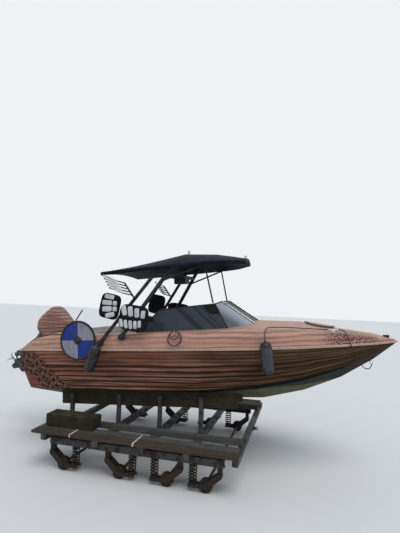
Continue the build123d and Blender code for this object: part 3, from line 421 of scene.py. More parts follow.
plank_lands = [0.09, 0.21, 0.34, 0.46, 0.59]
hull_wood, tree, finish = shader("hull_wood", Specular_IOR_Level=0.06)
along, side, outboard, up = on_boat(tree)
plank = side
# A dark line painted under each plank lap stands for the lap's shadow.
painted_lap_shadow = 0.0
for number, land in enumerate(plank_lands, start=1):
    plank = plus(tree, plank, times(tree, over(tree, side, land), 0.37 + 0.11 * number))
    painted_lap_shadow = largest(tree, between(tree, apart(tree, side, land - 0.008), 0.026, 0.011), painted_lap_shadow)
wrap = wrapped(tree, along, plank, (0.270, 0.145, 0.098, 1), (0.082, 0.036, 0.023, 1),
               (0.215, 0.085, 0.048, 1), 4.0, 0.35, 0.3)
# Toward the bow the wrap turns yellower and much darker: a tint of the wrap, with painted shade of
# the flared bow.
bow_tint_and_painted_shade = blend_colours(tree, between(tree, along, 2.2, 5.4), (1.0, 0.93, 0.93, 1),
                     (0.42, 0.47, 0.35, 1))
wood = blend_colours(tree, 1.0, wrap["Color"], bow_tint_and_painted_shade, "MULTIPLY")
each_plank = node(tree, "CombineXYZ", {0: times(tree, along, 0.45),
                                       1: times(tree, plank, 2.6)}).outputs[0]
tones = blend_colours(tree, between(tree, noise(tree, each_plank, 1.5, 3.0), 0.36, 0.66),
                      (0.58, 0.54, 0.52, 1), (1.20, 1.20, 1.16, 1))
wood = blend_colours(tree, 1.0, wood, tones, "MULTIPLY")
wood = blend_colours(tree, times(tree, painted_lap_shadow, 0.94), wood, (0.014, 0.008, 0.006, 1))

panel = plaited(tree, along, up, 0.27, 0.07)
panel_inside = minus(tree, levels(tree, side, 1.02, 0.34, 0.0, 0.95), along)
panel_here = times(tree, between(tree, panel_inside, 0.0, 0.04), between(tree, side, 0.96, 0.92))
strand = blend_colours(tree, panel["Mask"], (0.030, 0.014, 0.012, 1), (0.185, 0.085, 0.062, 1))
strand = blend_colours(tree, panel["Line"], strand, (0.012, 0.006, 0.006, 1))
above_cut = between(tree, plus(tree, times(tree, along, 1.1), side), 0.44, 0.50)
strand = blend_colours(tree, above_cut, (0.215, 0.075, 0.050, 1), strand)
wood = blend_colours(tree, times(tree, panel_here, 0.85), wood, strand)

# The dark band between the wood and the olive bottom is a boot top aft; toward the bow it widens
# and rises over the chine as painted shadow of the flare.
boot_and_shadow_top = drawn_line(tree, along, [(0.0, -0.05), (3.0, -0.01), (3.7, 0.027), (4.8, 0.073),
                                     (5.3, 0.107), (5.75, 0.111), (6.15, 0.083), (6.5, -0.02),
                                     (7.2, -0.10)])
boot_and_shadow_foot = drawn_line(tree, along, [(0.0, -0.11), (3.4, -0.11), (4.1, -0.06), (4.8, -0.03),
                                     (5.25, -0.126), (5.6, -0.24), (5.95, -0.40), (6.3, -0.8),
                                     (7.2, -0.9)])
olive = dirtied(tree, (0.095, 0.105, 0.042, 1), (0.04, 0.045, 0.02, 1), 0.5, 2.2)
bottom = blend_colours(tree, under(tree, side, boot_and_shadow_foot), (0.006, 0.008, 0.006, 1),
                       olive["Color"])
coloured = blend_colours(tree, under(tree, side, boot_and_shadow_top), wood, bottom)

# One row a room: from and to along the boat, half its width, and the height of its floor
rooms = [(0.79, 4.23, 0.905, 0.40), (-0.01, 0.71, 0.565, 0.78), (5.63, 6.07, 0.195, 1.01)]
moulded = 0.0
for start, end, half, floor_height in rooms:
    room = times(tree, over(tree, along, start), under(tree, along, end),
                 under(tree, apart(tree, outboard, 0.0), half), over(tree, up, floor_height))
    moulded = largest(tree, moulded, room)
coloured = blend_colours(tree, moulded, coloured, (0.46, 0.44, 0.40, 1))
weathered = dirtied(tree, coloured, (0.05, 0.038, 0.03, 1), 0.25, 1.6)
show(tree, finish, weathered["Color"], plus(tree, wrap["Roughness"], 0.15), wrap["Height"],
     0.002, 0.6)
dress(hull_wood, "hull")


# Deck and topsides. The same wrap in a paler pink brown, tan on the foredeck with an orange
# highlight painted on its top near the bow, and a darker plaited print towards the bow; the well,
# the locker and the cockpit sides are plain gelcoat.
deck_wood, tree, finish = shader("deck_wood", Specular_IOR_Level=0.25)
along, side, outboard, up = on_boat(tree)
upward = facing_up(tree)
flat = between(tree, upward, 0.55, 0.85)
outward = math_node(tree, "ABSOLUTE", outboard)
across = node(tree, "Mix", {"Factor": flat, 2: up, 3: outboard}).outputs[0]
sides = wrapped(tree, along, across, (0.47, 0.265, 0.200, 1), (0.23, 0.115, 0.085, 1),
                (0.40, 0.205, 0.14, 1), 5.0, 0.3)
top = wrapped(tree, along, across, (0.43, 0.29, 0.225, 1), (0.20, 0.115, 0.080, 1),
              (0.46, 0.20, 0.085, 1), 4.0, 0.35)
wood = blend_colours(tree, flat, sides["Color"], top["Color"])
# An orange highlight painted on the foredeck's top near the bow.
painted_bow_highlight = times(tree, flat, between(tree, along, 6.05, 6.35), between(tree, along, 6.95, 6.6))
wood = blend_colours(tree, times(tree, painted_bow_highlight, 0.6), wood, (0.45, 0.20, 0.075, 1))
fore_print = plaited(tree, along, minus(tree, up, outward), 0.24, 0.08)
fore_here = times(tree, between(tree, along, 5.75, 6.15), between(tree, along, 6.95, 6.75),
                  between(tree, outward, 0.10, 0.30))
wood = blend_colours(tree, times(tree, fore_here, 0.45), wood, (0.20, 0.10, 0.085, 1))
wood = blend_colours(tree, times(tree, fore_print["Line"], fore_here, 0.85), wood,
                     (0.035, 0.018, 0.018, 1))
inside = times(tree, under(tree, outward, 0.905), under(tree, upward, 0.5),
               under(tree, along, 4.4))
well = times(tree, under(tree, outward, 0.57), under(tree, along, 0.71), under(tree, up, 1.14))
locker = times(tree, under(tree, outward, 0.195), under(tree, upward, 0.4),
               over(tree, along, 5.6), under(tree, along, 6.08))
coloured = blend_colours(tree, largest(tree, inside, well, locker), wood, (0.50, 0.48, 0.44, 1))
weathered = dirtied(tree, coloured, (0.12, 0.08, 0.06, 1), 0.22, 2.4)
show(tree, finish, weathered["Color"], sides["Roughness"], sides["Height"], 0.0015, 0.5)
dress(deck_wood, "deck")


# Rub rail. A pale extruded vinyl rail with a slightly darker insert, along the sheer.
rail_trim, tree, finish = shader("rail_trim", Roughness=0.42)
insert = between(tree, apart(tree, on_boat(tree)["Up"], sheer_height), 0.009, 0.007)
vinyl = blend_colours(tree, insert, (0.52, 0.385, 0.30, 1), (0.36, 0.25, 0.19, 1))
worn = dirtied(tree, vinyl, (0.15, 0.10, 0.08, 1), 0.35, 5.0)
show(tree, finish, worn["Color"], height=insert, depth=0.003)
dress(rail_trim, "rub_rail")


# Cockpit sole and dash. Speckled gelcoat with moulded non-slip underfoot; black leather-grained
# dash moulding.
def hide_grain(tree, scale):
    return node(tree, "TexVoronoi", {"Vector": object_at(tree), "Scale": scale},
                feature="DISTANCE_TO_EDGE").outputs["Distance"]


liner, tree, finish = shader("liner", Roughness=0.5)
tread = node(tree, "TexVoronoi", {"Vector": object_at(tree), "Scale": 110.0}).outputs["Distance"]
soiled = dirtied(tree, (0.50, 0.48, 0.44, 1), (0.22, 0.19, 0.16, 1), 0.5, 2.0)
show(tree, finish, soiled["Color"], height=tread, depth=0.002)
dress(liner, "sole")

dash_black, tree, finish = shader("dash_black", Roughness=0.55)
leather = hide_grain(tree, 320.0)
grained = blend_colours(tree, between(tree, leather, 0.0, 0.12), (0.010, 0.010, 0.011, 1),
                        (0.030, 0.030, 0.033, 1))
show(tree, finish, grained, height=between(tree, leather, 0.0, 0.2), depth=0.0006)
dress(dash_black, "dash", "helm_wheel")


# Windshield. Smoked panes in a black frame. The side pane has a black printed patch in its upper
# fore corner and dark slanting bands of painted reflection; the corner pane goes from dark to pale
# grey at its front.
dark_glass, tree, finish = shader("dark_glass", Roughness=0.12, IOR=1.35, Transmission_Weight=0.0,
                                  Alpha=0.93, Specular_IOR_Level=0.35)
along, side, outboard, up = on_boat(tree)
tinted = dirtied(tree, (0.034, 0.040, 0.056, 1), (0.07, 0.08, 0.09, 1), 0.3, 2.5)["Color"]
slant = plus(tree, along, times(tree, up, 1.12))
# Dark slanting bands painted on the side pane as reflections.
for place, width in ((5.30, 0.10), (5.62, 0.045), (5.74, 0.028)):
    painted_reflection_band = times(tree, between(tree, apart(tree, slant, place), width, width * 0.4), 0.65)
    tinted = blend_colours(tree, painted_reflection_band, tinted, (0.006, 0.008, 0.013, 1))
along_patch = apart(tree, plus(tree, along, times(tree, up, 0.80)), 5.375)
up_patch = apart(tree, up, 1.815)
long_part, tall_part = (math_node(tree, "POWER", math_node(tree, "DIVIDE", off, reach), 4.0)
                        for off, reach in ((along_patch, 0.165), (up_patch, 0.095)))
patch = between(tree, plus(tree, long_part, tall_part), 1.15, 0.85)
show(tree, finish, blend_colours(tree, patch, tinted, (0.002, 0.002, 0.003, 1)))
dress(dark_glass, "side_glass")

black_glass = painted("black_glass", (0.003, 0.004, 0.006, 1), (0.02, 0.022, 0.03, 1), 0.3, 2.5,
                      Roughness=0.3, Specular_IOR_Level=0.03)
dress(black_glass, "front_glass")

corner_tint, tree, finish = shader("corner_tint", Roughness=0.3, Metallic=0.2)
along, side, outboard, up = on_boat(tree)
post = plus(tree, times(tree, minus(tree, 1.955, up), 1.4256), 4.010)
# The pane is dark aft of its front post and turns pale grey towards the post.
dark_to_pale_grey = blend_colours(tree, between(tree, minus(tree, post, along), 0.36, 0.0),
                     (0.060, 0.068, 0.085, 1), (0.33, 0.36, 0.41, 1))
corner_tone = dirtied(tree, dark_to_pale_grey, (0.20, 0.22, 0.24, 1), 0.3, 1.5)
show(tree, finish, corner_tone["Color"])
dress(corner_tint, "corner_glass")


# Bright metal. Polished stainless fittings, and the propeller with its turned lines.
def polished(name, stretch, scale, detail, dull, bright, rough):
    made, tree, finish = shader(name, Metallic=1.0)
    rubbed = noise(tree, stretched(tree, stretch), scale, detail)
    show(tree, finish, blend_colours(tree, rubbed, dull, bright), levels(tree, rubbed, *rough))
    return made


steel = polished("steel", (4.0, 60.0, 60.0), 6.0, 4.0, (0.50, 0.51, 0.53, 1),
                 (0.72, 0.73, 0.75, 1), (0.14, 0.34))
dress(steel, "seat_posts", "cleats", "bow_eye", "hatch_hinges")
propeller_metal = polished("propeller_metal", (90.0, 8.0, 8.0), 3.0, 5.0, (0.30, 0.30, 0.31, 1),
                           (0.58, 0.58, 0.60, 1), (0.24, 0.45))
dress(propeller_metal, "propeller")


# Tower and roof. Black powder-coated tubes, and a black moulded roof shell with a faint
# pebble to its gelcoat and pale dust on its top.
tower_black = painted("tower_black", (0.014, 0.015, 0.018, 1), (0.07, 0.07, 0.072, 1), 0.45, 6.0,
                      (0.5, 0.75), 240.0, 0.0006, Specular_IOR_Level=0.2)
dress(tower_black, "tower", "front_struts", "roof_box", "stern_pole", "windshield_frame")

roof_black, tree, finish = shader("roof_black", Specular_IOR_Level=0.03)
shell = blend_colours(tree, between(tree, facing_up(tree), 0.2, 0.95), (0.007, 0.009, 0.014, 1),
                      (0.006, 0.008, 0.014, 1))
coat = dirtied(tree, shell, (0.018, 0.021, 0.030, 1), 0.5, 1.8)
show(tree, finish, coat["Color"], levels(tree, coat["Mask"], 0.48, 0.75), peel(tree, 90.0), 0.0012)
dress(roof_black, "roof", "bow_light")

lamp_white = painted("lamp_white", (0.70, 0.70, 0.69, 1), (0.3, 0.28, 0.25, 1), 0.4, 14.0,
                     Roughness=0.3, Coat_Weight=0.4)
dress(lamp_white, "roof_lamps")


# Foredeck hatch. Smoked lid with an orange brown print in its middle, hinged at its front.
hatch_dark, tree, finish = shader("hatch_dark", Specular_IOR_Level=0.3)
along, side, outboard, up = on_boat(tree)
figure = wrapped(tree, along, outboard, (0.30, 0.12, 0.065, 1), (0.075, 0.028, 0.018, 1),
                 (0.38, 0.145, 0.055, 1), 5.0, 0.6)
squares = [math_node(tree, "POWER", math_node(tree, "DIVIDE", off, reach), 2.0)
           for off, reach in ((minus(tree, along, 5.85), 0.27), (outboard, 0.25))]
from_middle = math_node(tree, "SQRT", plus(tree, *squares))
smoked = blend_colours(tree, between(tree, from_middle, 0.62, 0.92), figure["Color"],
                       (0.018, 0.012, 0.012, 1))
show(tree, finish, smoked, figure["Roughness"])
dress(hatch_dark, "hatch_lid")


# Shields. Round display shields of eight glued boards, painted in blue and silver quarters,
# with a black riveted iron rim and a domed iron boss; one hangs on each topside near the stern.
def piece(name, mesh, material, body="root", smooth=True, frame_of=boat_frame):
    if isinstance(mesh, bmesh.types.BMesh):
        data = bpy.data.meshes.new(name)
        bmesh.ops.recalc_face_normals(mesh, faces=mesh.faces)
        mesh.to_mesh(data)
        mesh.free()
    else:
        data = mesh
    data.transform(frame_of)
    data.polygons.foreach_set("use_smooth", [smooth] * len(data.polygons))
    made = bpy.data.objects.new(name, data)
    bpy.context.scene.collection.objects.link(made)
    for finish_of in material if isinstance(material, list) else [material]:
        data.materials.append(finish_of)
    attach(made, body)
    return made


def softened(made, width, segments=3, angle=35):
    bevel = made.modifiers.new("soft_edges", "BEVEL")
    bevel.width = width
    bevel.segments = segments
    bevel.limit_method = "ANGLE"
    bevel.angle_limit = math.radians(angle)
    bevel.harden_normals = True
    return made


def skin_rings(mesh, rings, around, mark=0):
    for low, high in zip(rings, rings[1:]):
        for i in range(around):
            corners = list(dict.fromkeys([low[i % len(low)], low[(i + 1) % len(low)],
                                          high[(i + 1) % len(high)], high[i % len(high)]]))
            if len(corners) > 2:
                mesh.faces.new(corners).material_index = mark


def lathe(mesh, profile, origin, axis, segments=48, mark=0):
    axis = Vector(axis).normalized()
    side_way = axis.orthogonal().normalized()
    other = axis.cross(side_way)
    rings = []
    for radius, along in profile:
        centre = Vector(origin) + axis * along
        if radius < 1e-6:
            rings.append([mesh.verts.new(centre)])
            continue
        rings.append([mesh.verts.new(centre + (side_way * math.cos(turn) + other * math.sin(turn))
                                     * radius)
                      for turn in (math.tau * i / segments for i in range(segments))])
    skin_rings(mesh, rings, segments, mark)


def prism(mesh, first, second, capped=True):
    near, far = ([mesh.verts.new(corner) for corner in outline] for outline in (first, second))
    if capped:
        mesh.faces.new(near)
        mesh.faces.new(list(reversed(far)))
    for i in range(len(near)):
        j = (i + 1) % len(near)
        mesh.faces.new([near[j], near[i], far[i], far[j]])


def box_between(mesh, low, high, mark=0):
    corners = [mesh.verts.new((x, y, z)) for x in (low[0], high[0]) for y in (low[1], high[1])
               for z in (low[2], high[2])]
    for loop in ((0, 1, 3, 2), (4, 6, 7, 5), (0, 4, 5, 1), (2, 3, 7, 6), (0, 2, 6, 4),
                 (1, 5, 7, 3)):
        mesh.faces.new([corners[i] for i in loop]).material_index = mark


shield_centre = Vector((1.340, -1.2766, 1.298))
shield_reach = 0.356
shield_paint, tree, finish = shader("shield_paint", Roughness=0.55, Specular_IOR_Level=0.2)
along, side, outboard, up = on_boat(tree)
fore_half = over(tree, along, shield_centre.x)
blue_here = apart(tree, fore_half, over(tree, up, shield_centre.z))
board_grain = node(tree, "CombineXYZ", {0: times(tree, along, 30.0),
                                        2: times(tree, up, 1.6)}).outputs[0]
grain = noise(tree, board_grain, 2.2, 7.0, 0.7)
blue = blend_colours(tree, between(tree, grain, 0.3, 0.75), (0.006, 0.022, 0.160, 1),
                     (0.012, 0.040, 0.255, 1))
silver = blend_colours(tree, between(tree, grain, 0.3, 0.7), (0.155, 0.155, 0.185, 1),
                       (0.30, 0.30, 0.36, 1))
soiled = dirtied(tree, blend_colours(tree, blue_here, silver, blue), (0.08, 0.07, 0.07, 1), 0.35,
                 5.0)
show(tree, finish, soiled["Color"], height=grain, depth=0.002)

black_iron, tree, finish = shader("black_iron", Metallic=0.6)
dents = peel(tree, 38.0)
coat = dirtied(tree, (0.018, 0.018, 0.02, 1), (0.09, 0.06, 0.045, 1), 0.4, 12.0)
show(tree, finish, coat["Color"], levels(tree, dents, 0.35, 0.6), dents, 0.004)

for hand, label in ((1, "starboard"), (-1, "port")):
    boards = bmesh.new()
    board_width = 2 * shield_reach / 8
    for number in range(8):
        left = -shield_reach + number * board_width + 0.0012
        right = left + board_width - 0.0024
        steps = [left + (right - left) * i / 4 for i in range(5)]
        edge = [(x, math.sqrt(max(shield_reach ** 2 - x ** 2, 0.0008))) for x in steps]
        outline = [(x, -z) for x, z in edge] + [(x, z) for x, z in reversed(edge)]
        crown = 0.004 * (1 - ((left + right) / 2 / shield_reach) ** 2)
        prism(boards, *([(shield_centre.x + x, hand * y, shield_centre.z + z) for x, z in outline]
                        for y in (shield_centre.y, shield_centre.y - 0.016 - crown)))
    shield = softened(piece("shield_boards_" + label, boards, shield_paint, smooth=False), 0.0018,
                      2)
    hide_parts("shields")
    iron = bmesh.new()
    out = (0, -hand, 0)
    middle = Vector((shield_centre.x, hand * shield_centre.y, shield_centre.z))
    lathe(iron, [(0.341, 0.024), (0.346, 0.0275), (0.370, 0.0275), (0.377, 0.023), (0.378, 0.0),
                 (0.370, -0.003), (0.346, -0.003), (0.341, 0.0), (0.341, 0.024)], middle, out, 96)
    lathe(iron, [(0.0, 0.058), (0.020, 0.056), (0.038, 0.049), (0.052, 0.037), (0.058, 0.025),
                 (0.060, 0.0235), (0.076, 0.0235), (0.079, 0.021), (0.079, 0.016), (0.0, 0.016)],
          middle, out, 48)
    lathe(iron, [(0.0, 0.002), (0.020, 0.002), (0.020, -0.040), (0.0, -0.040)], middle, out, 20)
    for count, shift, reach, rivet in (
            (24, 0.0, 0.359, [(0.0, 0.0325), (0.004, 0.0315), (0.0065, 0.027)]),
            (6, 0.5, 0.0685, [(0.0, 0.0285), (0.004, 0.0275), (0.006, 0.0235)])):
        for number in range(count):
            turn = math.tau * (number + shift) / count
            at_rivet = middle + Vector((math.cos(turn), 0, math.sin(turn))) * reach
            lathe(iron, rivet, at_rivet, out, 10)
    rim = piece("shield_iron_" + label, iron, black_iron)


# Fenders. Blown vinyl fenders with moulded ribs and a thick eye at the top for the line: a black
# one by the tower's foot and a navy one with black ends under the foredeck.
fender_black = painted("fender_black", (0.012, 0.012, 0.014, 1), (0.075, 0.078, 0.085, 1), 0.6,
                       9.0, (0.4, 0.7), Specular_IOR_Level=0.3)
fender_navy = painted("fender_navy", (0.026, 0.031, 0.045, 1), (0.085, 0.095, 0.12, 1), 0.7, 9.0,
                      (0.38, 0.66), Specular_IOR_Level=0.35)
for name, top, low_end, skin in (
        ("fender_aft", (1.815, -1.418, 1.215), (1.632, -1.418, 0.735), fender_black),
        ("fender_fore", (4.915, -1.250, 1.240), (4.955, -1.250, 0.700), fender_navy)):
    top = Vector(top)
    run = (Vector(low_end) - top).normalized()
    reach = (Vector(low_end) - top).length
    profile = [(0.0, -0.0295), (0.016, -0.0290), (0.0215, -0.024), (0.022, -0.006), (0.030, 0.002),
               (0.050, 0.006), (0.072, 0.016), (0.089, 0.034), (0.097, 0.060), (0.0995, 0.090)]
    ends = [(r, reach - a) for r, a in reversed(profile[4:])]
    tail = [(0.024, reach - 0.001), (0.020, reach - 0.0005), (0.0, reach - 0.004)]
    fender = bmesh.new()
    lathe(fender, profile + ends + tail, top, run, 72)
    across = run.orthogonal().normalized()
    upright = run.cross(across)
    for vertex in fender.verts:
        from_top = vertex.co - top
        along = from_top.dot(run)
        out = from_top - run * along
        if out.length > 0.06:
            turn = math.atan2(out.dot(upright), out.dot(across))
            out *= 1 - 0.022 * max(0.0, math.cos(turn * 12)) ** 4
            vertex.co = top + run * along + out
    for face in fender.faces:
        middle = (face.calc_center_median() - top).dot(run)
        face.material_index = 0 if 0.075 < middle < reach - 0.075 else 1
    made = piece(name + "_body", fender, [skin, fender_black])
    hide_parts(name)


# Rope coil. Spare line hung over a steel peg on the coaming: two large turns and a smaller one
# inside them, a little fanned out.
coil_middle = Vector((3.290, -1.276, 1.345))
lean = math.radians(19)
coil_out = Vector((0, -math.cos(lean), math.sin(lean)))
coil_up = Vector((0, math.sin(lean), math.cos(lean)))
coil_radius = 0.136
coil_route = []
for step in range(12 * 3 + 1):
    turns = step / 12
    wide = coil_radius - (0.0 if turns < 1.7 else 0.052 * min(1.0, (turns - 1.7) / 0.6))
    wide += 0.004 * math.sin(5 * turns)
    swing = math.tau * turns
    hang = coil_up * (0.1105 - wide + wide * math.cos(swing))
    coil_route.append(coil_middle + hang + Vector((1, 0, 0)) * wide * 0.95 * math.sin(swing)
                      + coil_out * (-0.020 + 0.0150 * turns))
coil = rope_curve("rope_coil_turns", in_boat(coil_route))
coil.data.materials.append(rope_black)
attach(coil, "root")
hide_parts("rope_coil")
line_length(along_curve(coil))


# Life vests. Segmented foam vests in black fabric with white foam blocks, hung by webbing loops
# from the tower's legs, two a side.
weave, given, made_out = group("weave", {"Scale": 900.0}, {"Height": "Float"})
x, y, z = node(weave, "SeparateXYZ", {0: object_at(weave)}).outputs
one_way = math_node(weave, "SINE", times(weave, plus(weave, x, y), given.outputs["Scale"]))
other_way = math_node(weave, "SINE", times(weave, z, given.outputs["Scale"]))
crossed = times(weave, one_way, other_way, 0.5)
weave.links.new(plus(weave, crossed, 0.5), made_out.inputs["Height"])


def woven(name, colour, dirt, amount, scale, threads=900.0, depth=0.0008, **values):
    made, tree, finish = shader(name, **values)
    cloth = node(tree, "Group", {"Scale": threads}, node_tree=weave).outputs["Height"]
    faded = dirtied(tree, colour, dirt, amount, scale)
    show(tree, finish, faded["Color"], height=cloth, depth=depth)
    return made


vest_black = woven("vest_black", (0.006, 0.006, 0.008, 1), (0.03, 0.03, 0.034, 1), 0.5, 7.0,
                   Roughness=0.9, Specular_IOR_Level=0.1)
vest_white = woven("vest_white", (0.52, 0.53, 0.54, 1), (0.20, 0.20, 0.20, 1), 0.6, 10.0,
                   Roughness=0.75, Sheen_Weight=0.15)


def bulge(value, power):
    return math.copysign(abs(value) ** power, value)


def pillow(mesh, centre, half, roundness=0.35, mark=0, turn=0.0, rings=14, spokes=24):
    grid = []
    for ring in range(rings + 1):
        rise = math.pi * (ring / rings - 0.5)
        row = []
        for spoke in range(spokes if 0 < ring < rings else 1):
            swing = math.tau * spoke / spokes
            x = half[0] * bulge(math.cos(rise), roundness) * bulge(math.cos(swing), roundness)
            z = half[2] * bulge(math.cos(rise), roundness) * bulge(math.sin(swing), roundness)
            y = half[1] * bulge(math.sin(rise), 0.7)
            x, z = (x * math.cos(turn) - z * math.sin(turn),
                    x * math.sin(turn) + z * math.cos(turn))
            row.append(mesh.verts.new((centre[0] + x, centre[1] + y, centre[2] + z)))
        grid.append(row)
    skin_rings(mesh, grid, spokes, mark)


# One row a block: centre along and up, half width and half height, tilt in degrees
fore_vest_blocks = [(2.365, 1.850, 0.050, 0.096, 12), (2.492, 1.826, 0.050, 0.096, 6),
                    (2.618, 1.796, 0.048, 0.090, 0), (2.736, 1.762, 0.042, 0.074, -8),
                    (2.300, 1.620, 0.036, 0.078, 10), (2.392, 1.600, 0.036, 0.080, 6),
                    (2.484, 1.586, 0.036, 0.080, 3), (2.576, 1.580, 0.036, 0.076, 0),
                    (2.662, 1.592, 0.032, 0.066, -4)]
aft_vest_blocks = [(2.020, 2.115, 0.100, 0.044, -14), (1.970, 2.005, 0.105, 0.048, -6),
                   (1.965, 1.885, 0.100, 0.052, 0), (2.130, 1.985, 0.042, 0.044, -6),
                   (2.122, 1.880, 0.044, 0.046, 6), (2.020, 1.770, 0.098, 0.046, 10)]
for hand, label in ((1, "starboard"), (-1, "port")):
    for name, centre, half, blocks, tilt in (
            ("vest_fore", (2.530, -1.352, 1.705), (0.285, 0.045, 0.240), fore_vest_blocks, -10),
            ("vest_aft", (2.010, -1.256, 1.935), (0.208, 0.036, 0.240), aft_vest_blocks, -14)):
        vest = bmesh.new()
        pillow(vest, (centre[0], hand * centre[1], centre[2]), half, 0.45, 0, math.radians(tilt),
               20, 40)
        face_out = centre[1] - half[1] * 0.62
        for x, z, wide, tall, lean_by in blocks:
            pillow(vest, (x, hand * face_out, z), (wide, 0.030, tall), 0.4, 1,
                   math.radians(lean_by))
        if name == "vest_fore":
            pillow(vest, (2.835, hand * -1.356, 1.690), (0.108, 0.036, 0.052), 0.8, 0,
                   math.radians(-14), 12, 24)
        made = piece(name + "_" + label, vest, [vest_black, vest_white])
        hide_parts(name)
dress(vest_black, "vest_straps")


# Deck edge trim and windscreen trim. A black rubber strip runs up the edge of each aft topside to
# the shield, and a bright strip covers the joint of each front corner of the windscreen.
def strip_along(name, routes, radius, material, body="root", frame_of=boat_frame, detail=3):
    data = bpy.data.curves.new(name, "CURVE")
    data.dimensions = "3D"
    for route in routes:
        spline = data.splines.new("POLY")
        spline.points.add(len(route) - 1)
        for knot, point in zip(spline.points, route):
            knot.co = (*(frame_of @ Vector(point)), 1)
    data.bevel_depth = radius
    data.bevel_resolution = detail
    data.use_fill_caps = True
    made = bpy.data.objects.new(name, data)
    bpy.context.scene.collection.objects.link(made)
    data.materials.append(material)
    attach(made, body)
    return made


def both_sides(route):
    return [[(x, hand * y, z) for x, y, z in route] for hand in (1, -1)]


aft_edge = [(0.012, 1.134, 1.150), (0.300, 1.1435, 1.3415), (0.700, 1.158, 1.4135),
            (1.050, 1.168, 1.402)]
edge_trim = strip_along("deck_edge_trim", both_sides(aft_edge), 0.009, tower_black)
screen_corner = [(4.0200, 0.4203, 1.9690), (4.6440, 0.4378, 1.5312)]
screen_trim = strip_along("windscreen_trim", both_sides(screen_corner), 0.0075, steel)


# Seats and stern bench. Foam cushions in pale grey vinyl with sewn channels, on dark moulded
# shells; the bench has three places.
def inflated(name, mesh, cap, voxel=0.008):
    data = bpy.data.meshes.new(name)
    mesh.to_mesh(data)
    mesh.free()
    soft = bpy.data.objects.new(name, data)
    bpy.context.scene.collection.objects.link(soft)
    skin = soft.modifiers.new("skin", "REMESH")
    skin.mode = "VOXEL"
    skin.voxel_size = voxel
    graph = bpy.context.evaluated_depsgraph_get()
    skinned = bpy.data.meshes.new_from_object(soft.evaluated_get(graph))
    soft.modifiers.clear()
    soft.data = skinned
    scene = bpy.context.scene
    scene.frame_set(1)
    cloth = soft.modifiers.new("cloth", "CLOTH")
    cloth.settings.use_pressure = True
    cloth.settings.uniform_pressure_force = 4.0
    cloth.settings.effector_weights.gravity = 0.0
    cloth.settings.quality = 4
    for moment in range(1, 21):
        scene.frame_set(moment)
    graph = bpy.context.evaluated_depsgraph_get()
    swollen = bpy.data.meshes.new_from_object(soft.evaluated_get(graph))
    for vertex, start in zip(swollen.vertices, skinned.vertices):
        shift = vertex.co - start.co
        if shift.length > cap:
            vertex.co = start.co + shift * (cap / shift.length)
    soft.modifiers.clear()
    soft.data = swollen
    scene.frame_set(1)
    finished = soft.data
    bpy.data.objects.remove(soft)
    return finished


def cushion_form(length, width, thickness, corner):
    form = bmesh.new()
    bmesh.ops.create_cube(form, size=1.0)
    for vertex in form.verts:
        vertex.co = Vector((vertex.co.x * length, vertex.co.y * width, vertex.co.z * thickness))
    bmesh.ops.bevel(form, geom=list(form.edges), offset=corner, segments=4, profile=0.5,
                    affect="EDGES")
    return form


def sewn(data, seams, depth, half_width, top_only=True):
    for vertex in data.vertices:
        if top_only and vertex.co.z < 0:
            continue
        for axis, place in seams:
            off = abs(vertex.co[axis] - place) / half_width
            if off < 1:
                vertex.co.z -= depth * (1 - off * off)


seat_vinyl, tree, finish = shader("seat_vinyl", Roughness=0.5, Coat_Weight=0.1, Coat_Roughness=0.4)
pores = between(tree, hide_grain(tree, 260.0), 0.0, 0.14)
vinyl = blend_colours(tree, pores, (0.34, 0.31, 0.28, 1), (0.50, 0.47, 0.43, 1))
soiled = dirtied(tree, vinyl, (0.22, 0.18, 0.15, 1), 0.45, 4.0)
show(tree, finish, soiled["Color"], height=pores, depth=0.0008)
shell_black = painted("shell_black", (0.022, 0.022, 0.025, 1), (0.08, 0.075, 0.07, 1), 0.4, 6.0,
                      bumps=150.0, depth=0.001, Roughness=0.55, Specular_IOR_Level=0.3)


def turned_over(degrees, axis="Y"):
    return Matrix.Rotation(math.radians(degrees), 4, axis)


seat_pad = inflated("seat_pad_form", cushion_form(0.405, 0.425, 0.075, 0.030), 0.022)
sewn(seat_pad, [(0, -0.07), (0, 0.07)], 0.010, 0.012)
back_pad = inflated("back_pad_form", cushion_form(0.560, 0.425, 0.070, 0.030), 0.022)
sewn(back_pad, [(0, -0.14), (0, 0.0), (0, 0.14)], 0.010, 0.012)
wing_pad = inflated("wing_pad_form", cushion_form(0.420, 0.070, 0.070, 0.028), 0.015)
back_lean = turned_over(-8.8)
for hand, label in ((1, "port"), (-1, "starboard")):
    middle = hand * 0.48
    upright = Matrix.Translation((2.905, middle, 1.435)) @ back_lean @ turned_over(-90)
    forms = [("pad", seat_pad, Matrix.Translation((3.118, middle, 1.072))),
             ("back", back_pad, upright @ turned_over(180, "X"))]
    for side, side_name in ((-1, "starboard"), (1, "port")):
        wing = Matrix.Translation((2.952, middle + side * 0.205, 1.415))
        forms.append(("wing_" + side_name, wing_pad, wing @ back_lean @ turned_over(90)))
    for form_name, form, place in forms:
        made = piece(f"seat_{form_name}_{label}", form.copy(), seat_vinyl,
                     frame_of=boat_frame @ place)
        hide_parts("seats")
    shell = bmesh.new()
    box_between(shell, (2.885, middle - 0.235, 0.987), (3.325, middle + 0.235, 1.030))
    back_face = [(2.802, 1.060), (2.868, 1.040), (2.872, 1.110), (2.838, 1.500), (2.826, 1.735),
                 (2.798, 1.735)]
    prism(shell, *([(x, middle + side * 0.232, z) for x, z in back_face] for side in (-1, 1)))
    made = softened(piece("seat_shell_" + label, shell, shell_black, smooth=True), 0.012, 3)

